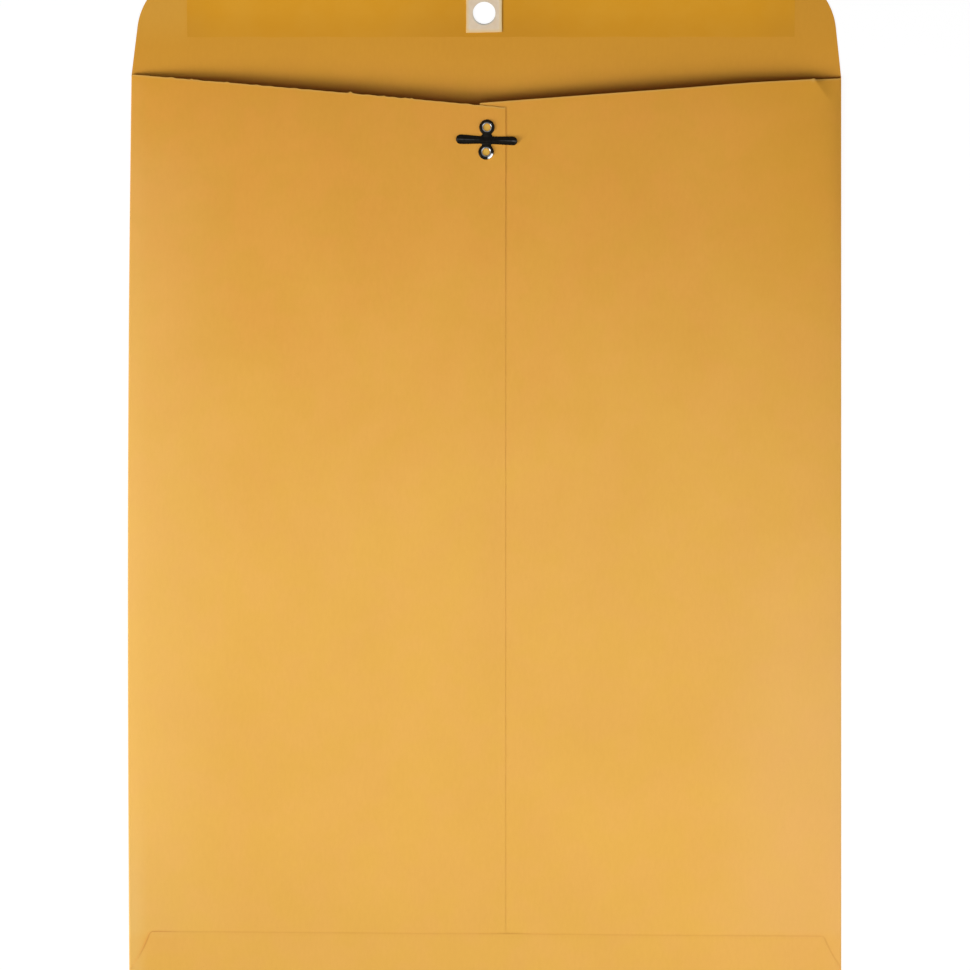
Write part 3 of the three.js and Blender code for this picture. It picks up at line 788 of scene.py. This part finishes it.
# The neck's plan, with places and widths in millimetres from its middle
NECK_HALF_LENGTH, NECK_HALF_WIDTH = 2.75, 1.62
BAR_FLARE, BAR_FLARE_REACH = 1.1, 1.35
RING_FLARE, RING_FLARE_START, RING_FLARE_RUN = 0.3, 1.9, 0.7
NECK_DIP_START, NECK_DIP_RUN = 2.0, 0.7
NECK_DIP = 0.6  # share of its height that the neck loses at the rings
NECK_HEIGHT = 0.5 * MM
NECK_SINK = 0.02 * MM
NECK_DOMING = 0.6  # power of the sine that its section follows

BAR_HALF = 10.95 * MM
BAR_HALF_WIDTH = 1.38 * MM
BAR_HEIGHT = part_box("clasp_base")[1].z - CLASP_Z
BAR_Y = CLASP.y - 0.18 * MM
BAR_LIFT = 0.12 * MM
BAR_END = 1.5 * MM  # length of the tip's quarter ellipse
LEFT_BAR_GROWTH = 0.3 * MM  # how much wider each arm is at its tip, to either side
RIGHT_BAR_GROWTH = 0.13 * MM
GROWTH_RUN = (2 * MM, 7 * MM)
TIP_HEIGHT = 0.45  # share of the bar's height that is left at the tip
SHOULDER, SHOULDER_RUN = 0.38, 0.22  # how the channel falls away beside its crest


def turned(points):
    """Turns points about the clasp's middle as the real clasp sits, slightly clockwise."""
    x, y = points[..., 0] - CLASP.x, points[..., 1] - CLASP.y
    c, s = math.cos(CLASP_TURN), math.sin(CLASP_TURN)
    return np.stack([CLASP.x + c * x - s * y, CLASP.y + s * x + c * y, points[..., 2]], axis=-1)


def ring_centre(ring):
    return turned(np.array([ring.x + RING_SHIFT, ring.y, 0.0]))


def quarter_ellipse(reach, first, last, steps):
    """Points of the ring's domed rim between two angles of an ellipse about its crest."""
    angle = np.radians(np.linspace(first, last, steps))
    return list(zip(RING_CREST + reach * np.cos(angle), CLASP_Z + RING_HEIGHT * np.sin(angle)))


def ring_eyelet(name, node, ring):
    """A drawn eyelet: a domed rim on the paper, a funnel into the bore, and the clinched end.

    The profile is turned about the ring's axis: a quarter ellipse for the dome outside its crest,
    another one down into the bore, then the barrel and the flare under the under panel.
    """
    dome = quarter_ellipse(RING_OUTER - RING_CREST, 0, 90, 12)
    bowl = quarter_ellipse(RING_CREST - BORE, 90, 180, 14)[1:]
    clinch_z = CLASP_Z - LAP - PAPER
    clinch = [(BORE + out * MM, clinch_z - down * MM) for out, down in CLINCH]
    barrel = [(BORE + BARREL_WALL, clinch_z), (BORE + BARREL_WALL, CLASP_Z)]
    piece = lathe_piece(name, dome + bowl + clinch + barrel, ring_centre(ring))
    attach(piece, "pocket")
    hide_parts(node)
    return piece


def neck_plate():
    """The plate between the rings: a domed strip whose sides flare into the rings and, at the
    middle, into the bar."""
    y = np.linspace(-NECK_HALF_LENGTH, NECK_HALF_LENGTH, 57)[:, None] * MM
    t = np.abs(y) / MM
    to_bar = BAR_FLARE * np.exp(-((t / BAR_FLARE_REACH) ** 4))
    to_ring = RING_FLARE * smooth((t - RING_FLARE_START) / RING_FLARE_RUN)
    half = (NECK_HALF_WIDTH + to_bar + to_ring) * MM
    angle = np.linspace(np.pi, 0, 25)[None, :]
    x = half * np.cos(angle)
    height = NECK_HEIGHT * (1 - NECK_DIP * smooth((t - NECK_DIP_START) / NECK_DIP_RUN))
    z = CLASP_Z + height * np.sin(angle) ** NECK_DOMING
    low = CLASP_Z - NECK_SINK + 0 * z
    outer = turned(np.stack([CLASP.x + x, CLASP.y + y + 0 * x, z], axis=-1))
    flat = turned(np.stack([CLASP.x + x, CLASP.y + y + 0 * x, low], axis=-1))
    piece = sheet_piece("clasp_neck", outer, flat)
    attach(piece, "pocket")
    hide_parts("clasp_base")
    return piece


def prong_face(side, growth, wall):
    """The face of an arm that lies a wall's thickness inside the outer one.

    Along the arm the half width grows towards the tip, which closes as a quarter of an ellipse.
    Across it the height is 1 minus the cube of the place, less a shoulder beside the crest."""
    bend = np.radians(np.linspace(0, 88, 15))[1:]
    straight = np.linspace(0, BAR_HALF - BAR_END, 40)
    angle = np.linspace(0, np.pi, 25)[None, :]
    x = np.concatenate([straight, BAR_HALF - BAR_END + (BAR_END - wall) * np.sin(bend)])[:, None]
    shrink = np.concatenate([np.ones(len(straight)), np.cos(bend)])[:, None]
    half = (BAR_HALF_WIDTH + growth * ramp(x, GROWTH_RUN) - wall) * shrink
    top = (BAR_HEIGHT - BAR_LIFT - wall) * (TIP_HEIGHT + (1 - TIP_HEIGHT) * shrink)
    across = np.abs(np.cos(angle))
    domed = (1 - across**3) * (1 - SHOULDER * across / (across + SHOULDER_RUN))
    y = BAR_Y - half * np.cos(angle)
    z = CLASP_Z + BAR_LIFT + top * domed
    return turned(np.stack([CLASP.x + side * x + 0 * y, y, z], axis=-1))


def prong_bar(name, node, side, growth):
    """One arm of the bar: a pressed channel, domed in section and open underneath."""
    outer, inner = prong_face(side, growth, 0), prong_face(side, growth, METAL)
    if side < 0:
        outer, inner = outer[:, ::-1], inner[:, ::-1]
    piece = sheet_piece(name, outer, inner)
    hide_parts(node)
    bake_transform(piece)
    return piece


# Node trees

class Value:
    """One output in a node tree. Arithmetic on it adds Math nodes."""

    def __init__(self, tree, socket):
        self.tree, self.socket = tree, socket

    def math(self, operation, first, second=None):
        inputs = {0: first} if second is None else {0: first, 1: second}
        return self.tree.node("ShaderNodeMath", {"operation": operation}, inputs).out()

    def __add__(self, other):
        return self.math("ADD", self, other)

    __radd__ = __add__

    def __sub__(self, other):
        return self.math("SUBTRACT", self, other)

    def __rsub__(self, other):
        return self.math("SUBTRACT", other, self)

    def __mul__(self, other):
        return self.math("MULTIPLY", self, other)

    __rmul__ = __mul__

    def __truediv__(self, other):
        return self.math("DIVIDE", self, other)

    def __rtruediv__(self, other):
        return self.math("DIVIDE", other, self)

    def __abs__(self):
        return self.math("ABSOLUTE", self)

    def root(self):
        return self.math("SQRT", self)

    def clamped(self):
        return self.math("MINIMUM", self.math("MAXIMUM", self, 0.0), 1.0)


class Node:
    """A node that was added, whose outputs are taken as values."""

    def __init__(self, tree, made):
        self.tree, self.made = tree, made

    def out(self, name=0):
        return Value(self.tree, self.made.outputs[name])


class Tree:
    """The node tree of a material or of the world."""

    def __init__(self, owner):
        owner.use_nodes = True
        self.nodes = owner.node_tree.nodes
        self.links = owner.node_tree.links

    def node(self, kind, settings=None, inputs=None):
        """Adds a node: first its settings, then the values or links of its sockets."""
        made = self.nodes.new(kind)
        for key, value in (settings or {}).items():
            setattr(made, key, value)
        for key, value in (inputs or {}).items():
            self.set(made.inputs[key], value)
        return Node(self, made)

    def set(self, socket, value):
        if isinstance(value, Value):
            self.links.new(value.socket, socket)
        else:
            socket.default_value = value

    def seen(self):
        """1 for rays from the camera, from gloss and through glass, and 0 for all others."""
        path = self.node("ShaderNodeLightPath")
        rays = path.out("Is Camera Ray") + path.out("Is Glossy Ray") + path.out("Is Transmission Ray")
        return rays.clamped()


MIX_FIRST, MIX_SECOND, MIX_RESULT = 6, 7, 2  # places of a Mix node's colour sockets


class Finish(Tree):
    """A material with one Principled shader, built from nodes."""

    def __init__(self, name):
        self.material = bpy.data.materials.new(name)
        super().__init__(self.material)
        self.shader = self.nodes["Principled BSDF"]
        self.place = self.node("ShaderNodeTexCoord").out("Object")

    def noise(self, scale, detail, roughness, stretch=None):
        """Noise in Object coordinates; stretch scales the pattern's axes."""
        place = self.place
        if stretch:
            place = self.node("ShaderNodeMapping", None, {"Vector": place, "Scale": stretch}).out()
        inputs = {"Vector": place, "Scale": scale, "Detail": detail, "Roughness": roughness}
        return self.node("ShaderNodeTexNoise", None, inputs).out("Fac")

    def mix(self, factor, first, second):
        """Mixes two colours. The node itself keeps the factor between 0 and 1."""
        settings = {"data_type": "RGBA", "clamp_factor": True}
        inputs = {"Factor": factor, MIX_FIRST: first, MIX_SECOND: second}
        return self.node("ShaderNodeMix", settings, inputs).out(MIX_RESULT)

    def tinted(self, body, tints):
        """Mixes tints into a colour one after the other: where each lies, its strength, its colour."""
        for place, strength, colour in tints:
            body = self.mix(place * strength, body, colour)
        return body

    def step(self, value, low, high):
        """A smooth step from 0 at low to 1 at high."""
        settings = {"interpolation_type": "SMOOTHSTEP"}
        inputs = {"Value": value, "From Min": low, "From Max": high}
        return self.node("ShaderNodeMapRange", settings, inputs).out()

    def fade(self, value, low, high):
        """A smooth step from 1 at low to 0 at high."""
        return 1 - self.step(value, low, high)

    def offset(self, centre=(0, 0)):
        """X and y of Object coordinates, measured from a centre."""
        parts = self.node("ShaderNodeSeparateXYZ", None, {0: self.place})
        return parts.out("X") - float(centre[0]), parts.out("Y") - float(centre[1])

    def radius(self, centre=(0, 0)):
        """Distance from an upright axis through the centre."""
        dx, dy = self.offset(centre)
        return (dx * dx + dy * dy).root()

    def use(self, **sockets):
        for name, value in sockets.items():
            self.set(self.shader.inputs[name.replace("_", " ")], value)

    def bump(self, height, strength, distance):
        inputs = {"Height": height, "Strength": strength, "Distance": distance}
        self.use(Normal=self.node("ShaderNodeBump", None, inputs).out())


def rgba(red, green, blue):
    """A linear colour from the values 0 to 255 of an sRGB one."""
    def linear(value):
        share = value / 255
        return share / 12.92 if share <= 0.04045 else ((share + 0.055) / 1.055) ** 2.4
    return (linear(red), linear(green), linear(blue), 1.0)


def paint(material, *pieces):
    for piece in pieces:
        piece.data.materials.clear()
        piece.data.materials.append(material)


# Materials, with the two places between which each smooth step of theirs lies

FIBRE_STRETCH = (1.0, 0.35, 1.0)  # the kraft's fibres run along the sheet
# Painted shade for the light's falloff: the kraft deepens towards the mouth and again on the flap
FALLOFF_SHADE_Y = (-40 * MM, 150 * MM)
FLAP_SHADE_Y = (130 * MM, 160 * MM)
POCKET_TOP_Y = (FOLD_Y - 3 * MM, FOLD_Y)
BOTTOM_FLAP_TOP_Y = (-162 * MM, -158 * MM)
# Painted sheen and painted light along the left side, where the light falls from the left
LEFT_FOLD_X = (-125.5 * MM, -119.5 * MM)
LEFT_FOLD_LOW_Y = (-160 * MM, -100 * MM)
LEFT_BAND_X, LEFT_BAND_TOP_Y = (-126 * MM, -82 * MM), (105 * MM, 135 * MM)
RIGHT_FOLD_X = (120 * MM, 126 * MM)
RIGHT_BAND_X, RIGHT_LOW_Y = (68 * MM, 112 * MM), (-90 * MM, 0 * MM)
# Painted shade: darker in the lower right corner, deeper and more saturated in the upper right
RIGHT_SHADE_X, RIGHT_SHADE_Y = (90 * MM, 120 * MM), (-165 * MM, -115 * MM)
HIGH_RIGHT_X, HIGH_RIGHT_Y = (70 * MM, 118 * MM), (40 * MM, 120 * MM)
FLAP_END_X, FLAP_END_Y = (-108 * MM, -104 * MM), (FOLD_Y + 8 * MM, FOLD_Y + 24 * MM)
# Painted light on the paper seen at the bottom of the rings' bores
BORE_LIGHT_RADIUS = (0.4 * MM, BORE + 0.4 * MM)
# Painted shadow: the hole's wall takes the pale grey of the shadow that falls into the hole
HOLE_WALL_SHADOW = (HOLE_RADIUS, HOLE_RADIUS + 0.06 * MM)


def kraft():
    """Machine-finished kraft: a broad cloudiness between ochre and orange, fine fibres along the
    sheet and a few darker specks. Painted shade deepens the tone towards the mouth and on the
    flap, in the upper right and in the lower right corner. A painted sheen and painted light lie
    along the left side, and painted light lies at the bottom of the rings' bores. Painted shadow
    lies on the hole's wall, inside the mouth and along the bottom flap's edges, and a painted
    highlight sits at the diagonal crease's start."""
    finish = Finish("kraft paper")
    x, y = finish.offset()
    cloud = finish.noise(30.0, 5.0, 0.62)
    patch = finish.step(finish.noise(75.0, 3.0, 0.5), 0.35, 0.65)
    fibre = finish.noise(900.0, 4.0, 0.65, FIBRE_STRETCH)
    grain = finish.noise(2600.0, 2.0, 0.6)
    pale = finish.mix(patch, rgba(235, 179, 78), rgba(236, 178, 82))
    deep = finish.mix(patch, rgba(230, 164, 57), rgba(234, 164, 61))
    # painted shade: the tone deepens towards the mouth, where less light falls
    falloff_shade = finish.step(y + (cloud - 0.5) * 0.05, *FALLOFF_SHADE_Y)
    streaks = finish.step(fibre * 0.6 + grain * 0.4, 0.3, 0.7)
    shade = finish.step(cloud, 0.25, 0.75) * 0.5 + streaks * 0.5

    pocket = finish.fade(y, *POCKET_TOP_Y)
    above_flap = finish.step(y, *BOTTOM_FLAP_TOP_Y)
    # painted sheen along the left fold, and painted light in a broad band on the left
    left_fold_sheen = finish.fade(x, *LEFT_FOLD_X) * pocket
    left_sheen_band = finish.fade(x, *LEFT_BAND_X) * above_flap * finish.fade(y, *LEFT_BAND_TOP_Y)
    left_sheen = left_sheen_band * 0.11 + left_fold_sheen * (0.04 + finish.fade(y, *LEFT_FOLD_LOW_Y) * 0.16)
    right_band = finish.step(x, *RIGHT_BAND_X) * (0.4 + above_flap * 0.6)
    pale_right = right_band * 0.16 + finish.step(x, *RIGHT_FOLD_X) * 0.03
    pale_right = pale_right * finish.fade(y, *RIGHT_LOW_Y)
    # painted shade in the lower right corner and in the upper right
    right_corner_shade = finish.step(x, *RIGHT_SHADE_X) * finish.fade(y, *RIGHT_SHADE_Y)
    high_right_shade = finish.step(x, *HIGH_RIGHT_X) * finish.step(y, *HIGH_RIGHT_Y) * pocket
    flap_end = finish.fade(x, *FLAP_END_X) * finish.step(y, *FLAP_END_Y)
    # painted light at the bottom of the rings' bores, which lie in the pocket's shade
    upper_bore_light = finish.fade(finish.radius(ring_centre(UPPER_RING)), *BORE_LIGHT_RADIUS) * pocket
    lower_bore_light = finish.fade(finish.radius(ring_centre(LOWER_RING)), *BORE_LIGHT_RADIUS) * pocket
    # painted shadow on the hole's wall
    hole_wall_shadow = finish.fade(finish.radius(HOLE), *HOLE_WALL_SHADOW)
    # Above 0: paler cut edges and a painted highlight. Below 0: painted shade inside the mouth and
    # along the bottom flap's edges
    rim = finish.node("ShaderNodeAttribute", {"attribute_name": "cut_edge_and_painted_light"}).out("Fac")
    body = finish.tinted(finish.mix(falloff_shade, pale, deep), (
        # painted shade on the flap
        (finish.step(y, *FLAP_SHADE_Y), 1.0, rgba(228, 161, 45)),
        (shade, 0.13, rgba(190, 118, 40)),
        (left_sheen, 1.0, rgba(246, 210, 136)),
        (pale_right, 1.0, rgba(238, 188, 140)),
        (right_corner_shade, 0.07, rgba(190, 118, 40)),
        (high_right_shade, 0.35, rgba(227, 162, 33)),
        (flap_end, 0.22, rgba(248, 191, 82)),
        (upper_bore_light, 0.55, rgba(240, 202, 84)),
        (lower_bore_light, 0.55, rgba(240, 202, 84)),
        (hole_wall_shadow, 0.7, rgba(228, 224, 208)),
        (rim, 0.75, rgba(224, 172, 80)),
        (rim, -0.85, rgba(186, 84, 8)),
        (finish.step(grain, 0.74, 0.8), 0.18, rgba(120, 72, 26)),
    ))
    finish.use(Base_Color=body, Roughness=0.72 + (fibre - 0.5) * 0.15, Specular_IOR_Level=0.3)
    finish.bump(fibre * 0.7 + grain * 0.3, 0.35, 0.06 * MM)
    return finish.material


GUM_LOW_Y = (FOLD_Y + 14 * MM, FOLD_Y + 27 * MM)
BESIDE_PATCH_X = (8 * MM, 45 * MM)
GUM_END_X = (92 * MM, 108 * MM)
# A painted shadow line beside the patch's right edge
PATCH_SHADOW_START_X, PATCH_SHADOW_END_X = (5.5 * MM, 5.7 * MM), (5.75 * MM, 6.8 * MM)
PATCH_SHADOW_LOW_Y = (FOLD_Y + 15.7 * MM, FOLD_Y + 16.4 * MM)
PATCH_SHADOW_HIGH_Y = (PATCH_HIGH.y - 0.5 * MM, PATCH_HIGH.y)


def gum_finish():
    """Dry gum: the kraft shows through it, more orange and with a slight shine. It lies thinner, and
    so duller, along its lower edge, at its ends and beside the patch. A painted shadow line runs along
    the patch's right side."""
    finish = Finish("dry gum on kraft")
    x, y = finish.offset()
    cloud = finish.noise(60.0, 4.0, 0.6)
    fibre = finish.noise(900.0, 4.0, 0.65, FIBRE_STRETCH)
    body = finish.mix(finish.step(cloud, 0.3, 0.7), rgba(235, 164, 31), rgba(237, 168, 41))
    thin_low = finish.fade(y, *GUM_LOW_Y)
    thin_middle = finish.fade(abs(x), *BESIDE_PATCH_X)
    thin_ends = finish.step(abs(x), *GUM_END_X)
    # painted shadow of the patch's right edge
    patch_shadow = finish.step(x, *PATCH_SHADOW_START_X) * finish.fade(x, *PATCH_SHADOW_END_X)
    patch_shadow = patch_shadow * finish.step(y, *PATCH_SHADOW_LOW_Y) * finish.fade(y, *PATCH_SHADOW_HIGH_Y)
    body = finish.tinted(body, (
        (thin_low * 0.16 + thin_middle * 0.11 + thin_ends * 0.08, 1.0, rgba(150, 88, 22)),
        (patch_shadow, 0.45, rgba(140, 100, 50)),
    ))
    finish.use(Base_Color=body, Roughness=0.5 + (fibre - 0.5) * 0.2, Specular_IOR_Level=0.2)
    finish.bump(cloud * 0.3 + fibre * 0.5, 0.25, 0.04 * MM)
    return finish.material


PATCH_LOW_Y = (FOLD_Y + 15.7 * MM, FOLD_Y + 17.4 * MM)
PATCH_LEFT_X = (-7.0 * MM, -5.5 * MM)
# Along the right edge the patch is more yellow, and darker as painted shade
PATCH_RIGHT_X = (4.3 * MM, 6.0 * MM)
# Painted shadow round the hole, most of all below it
HOLE_SHADOW_RIM = (HOLE_RADIUS + 0.05 * MM, HOLE_RADIUS + 0.5 * MM)
HOLE_SHADOW_LOW_Y = (HOLE.y - 2.5 * MM, HOLE.y)


def patch_finish():
    """A thin whitish patch with the kraft's fibres showing through. It is more yellow along three
    of its edges, and along the right one darker too, as painted shade. Painted shadow greys it round
    the hole, most of all below it."""
    finish = Finish("translucent patch")
    x, y = finish.offset()
    cloud = finish.noise(240.0, 4.0, 0.6)
    fibre = finish.noise(1400.0, 4.0, 0.65)
    body = finish.mix(finish.step(cloud, 0.3, 0.7), rgba(238, 214, 184), rgba(246, 228, 204))
    glued = finish.fade(y, *PATCH_LOW_Y) * 0.8 + finish.fade(x, *PATCH_LEFT_X) * 0.9
    # painted shadow round the hole
    hole_shadow = finish.fade(finish.radius(HOLE), *HOLE_SHADOW_RIM)
    hole_shadow = hole_shadow * (0.3 + finish.fade(y, *HOLE_SHADOW_LOW_Y) * 0.6)
    body = finish.tinted(body, (
        (fibre, 0.5, rgba(236, 208, 170)),
        (glued, 1.0, rgba(248, 208, 134)),
        (finish.step(x, *PATCH_RIGHT_X), 0.85, rgba(232, 198, 124)),
        (hole_shadow, 1.0, rgba(206, 204, 190)),
    ))
    finish.use(Base_Color=body, Roughness=0.5)
    finish.bump(fibre, 0.2, 0.03 * MM)
    return finish.material


def glue_finish():
    finish = Finish("dried glue")
    cloud = finish.noise(180.0, 4.0, 0.6)
    body = finish.mix(cloud, rgba(190, 160, 110), rgba(222, 200, 150))
    finish.use(Base_Color=body, Roughness=0.35 + cloud * 0.2)
    finish.bump(cloud, 0.3, 0.05 * MM)
    return finish.material


# Worn metal in the bores, laid out where the highlights fall: wear and painted highlight both
BRIGHT_BORE = (1.42 * MM, 1.82 * MM)
# A painted highlight on the lower ring's lower right side
HIGHLIGHT_RADIUS = (1.7 * MM, 2.1 * MM)
HIGHLIGHT_FACING = (0.8, 0.97)  # how nearly a place faces the lower right, where 1 is straight at it
DIAGONAL = 0.707  # each part of the direction to the lower right
# A painted highlight line along the bar's crest, and a painted glint near its right tip
CREST_HIGHLIGHT_WIDTH = (0.05 * MM, 0.26 * MM)
CREST_HIGHLIGHT_MIDDLE = 0.8 * MM
CREST_HIGHLIGHT_START = (2 * MM, 7 * MM)
TIP_GLINT_START, TIP_GLINT_END = (8.6 * MM, 9.6 * MM), (9.8 * MM, 10.6 * MM)


def clasp_finish():
    """Black plated steel. Worn bright metal in the rings' bores lies where the highlights fall, so it
    is wear and painted highlight both. A painted highlight sits on the lower right side of the lower
    ring, and a thin broken painted highlight line runs along the crest of the bar, with a painted
    glint near its right tip."""
    finish = Finish("black clasp metal")
    x, y = finish.offset((CLASP.x, BAR_Y))
    scuff = finish.noise(900.0, 4.0, 0.6)

    def bore_wear_and_highlight(ring):
        """Worn bright metal in a ring's bore, a little less of it at the four sides than between them,
        where the highlights fall: wear and painted highlight both.
        """
        dx, dy = finish.offset(ring_centre(ring))
        radius = finish.radius(ring_centre(ring))
        sides = (dx * dx - dy * dy) / (radius * radius)
        return finish.fade(radius, *BRIGHT_BORE) * (0.15 + scuff) * (0.85 - sides * sides * 0.2)

    # painted highlight on the lower ring's lower right side
    dx, dy = finish.offset(ring_centre(LOWER_RING))
    radius = finish.radius(ring_centre(LOWER_RING))
    facing = (dx - dy) * DIAGONAL / radius
    lower_ring_highlight = finish.step(facing, *HIGHLIGHT_FACING) * finish.step(radius, *HIGHLIGHT_RADIUS)
    # painted highlight line along the bar's crest, and a painted glint near its right tip
    crest = finish.fade(abs(y - x * math.sin(CLASP_TURN)), *CREST_HIGHLIGHT_WIDTH)
    crest = crest * finish.step(abs(x - CREST_HIGHLIGHT_MIDDLE), *CREST_HIGHLIGHT_START)
    tip = finish.step(x, *TIP_GLINT_START) * finish.fade(x, *TIP_GLINT_END)
    # worn metal and painted highlights, mixed in as bright metal
    wear_and_highlight = bore_wear_and_highlight(UPPER_RING) + bore_wear_and_highlight(LOWER_RING) + lower_ring_highlight + crest * (scuff * 0.12 + tip * 0.1)
    dark = finish.mix(scuff, rgba(14, 12, 9), rgba(30, 28, 25))
    body = finish.mix(wear_and_highlight, dark, rgba(208, 212, 216))
    finish.use(Base_Color=body, Metallic=1.0, Roughness=0.2 + scuff * 0.14)
    finish.bump(scuff, 0.12, 0.04 * MM)
    return finish.material


# The table, the light and the camera

TABLE_SIZE = 12
TABLE_Z = -0.05 * MM
TABLE_GLOW = 1.1
GLOW_SHARE = 0.8  # share of its own glow in what the camera sees of the table near the envelope
GLOW_RADIUS = (0.4, 1.4)  # between which the rest of the glow comes in
ROOM_STRENGTH = 0.02
LAMPS = (  # name, place, width and power in watts
    ("left_lamp", (-1.02, -0.41, 0.53), 0.5, 11.6),
    ("right_lamp", (0.34, -0.17, 0.3), 0.5, 1.6),
    ("top_lamp", (-0.1, 0.0, 0.3), 0.3, 0.37),
)
PHOTO_SPAN = 346.0 * MM  # width of what the photograph shows, at the envelope
PHOTO_CENTRE = (-0.21 * MM, FOLD_Y - 145.7 * MM)
CAMERA_HEIGHT = 8.0
WHITE = (1, 1, 1, 1)


def make_stage():
    """A white table. The camera sees it as nearly pure white, with the envelope's shadow on it,
    and as pure white far from the envelope."""
    bpy.ops.mesh.primitive_plane_add(size=TABLE_SIZE, location=(0, 0, TABLE_Z))
    table = bpy.context.active_object
    table.name = "table"
    finish = Finish("white table")
    finish.use(Base_Color=rgba(238, 238, 238), Roughness=0.6)
    glow = finish.node("ShaderNodeEmission", None, {"Color": WHITE, "Strength": TABLE_GLOW})
    far = finish.step(finish.radius(), *GLOW_RADIUS)
    share = finish.seen() * (GLOW_SHARE + far * (1 - GLOW_SHARE))
    shader = Value(finish, finish.shader.outputs[0])
    mixed = finish.node("ShaderNodeMixShader", None, {0: share, 1: shader, 2: glow.out()})
    finish.set(finish.nodes["Material Output"].inputs["Surface"], mixed.out())
    table.data.materials.append(finish.material)


def make_world():
    """A dim white room that the camera, gloss and glass see as white."""
    world = bpy.data.worlds.new("white room")
    bpy.context.scene.world = world
    tree = Tree(world)
    room = tree.nodes["Background"]
    tree.set(room.inputs["Color"], WHITE)
    tree.set(room.inputs["Strength"], ROOM_STRENGTH + tree.seen() * (1 - ROOM_STRENGTH))


def make_lamp(name, place, size, power):
    """A square area lamp that faces the middle of the envelope."""
    light = bpy.data.lights.new(name, "AREA")
    light.shape = "SQUARE"
    light.size = size
    light.energy = power
    lamp = bpy.data.objects.new(name, light)
    bpy.context.scene.collection.objects.link(lamp)
    lamp.location = place
    lamp.rotation_mode = "QUATERNION"
    lamp.rotation_quaternion = (-Vector(place)).to_track_quat("-Z", "Y")
    lamp.visible_camera = False


def make_camera():
    """A long lens straight above, so that the outline shows without perspective."""
    data = bpy.data.cameras.new("camera")
    data.sensor_width = 36.0
    data.lens = data.sensor_width * CAMERA_HEIGHT / PHOTO_SPAN
    data.clip_start, data.clip_end = 0.1, 40.0
    camera = bpy.data.objects.new("camera", data)
    camera.location = (*PHOTO_CENTRE, CAMERA_HEIGHT)
    bpy.context.scene.collection.objects.link(camera)
    bpy.context.scene.camera = camera


def main():
    paint(kraft(), pocket_sheet(), bottom_flap_sheet(), closure_flap_sheet())
    paint(glue_finish(), seam_film(), bottom_film())
    paint(gum_finish(), gum_film())
    paint(patch_finish(), hole_patch())
    paint(
        clasp_finish(),
        neck_plate(),
        ring_eyelet("upper_ring", "upper_eyelet", UPPER_RING),
        ring_eyelet("lower_ring", "lower_eyelet", LOWER_RING),
        prong_bar("left_prong_bar", "left_prong", -1, LEFT_BAR_GROWTH),
        prong_bar("right_prong_bar", "right_prong", 1, RIGHT_BAR_GROWTH),
    )
    make_stage()
    make_world()
    for name, place, size, power in LAMPS:
        make_lamp(name, place, size, power)
    make_camera()
    bpy.context.scene.view_settings.view_transform = "Standard"


main()
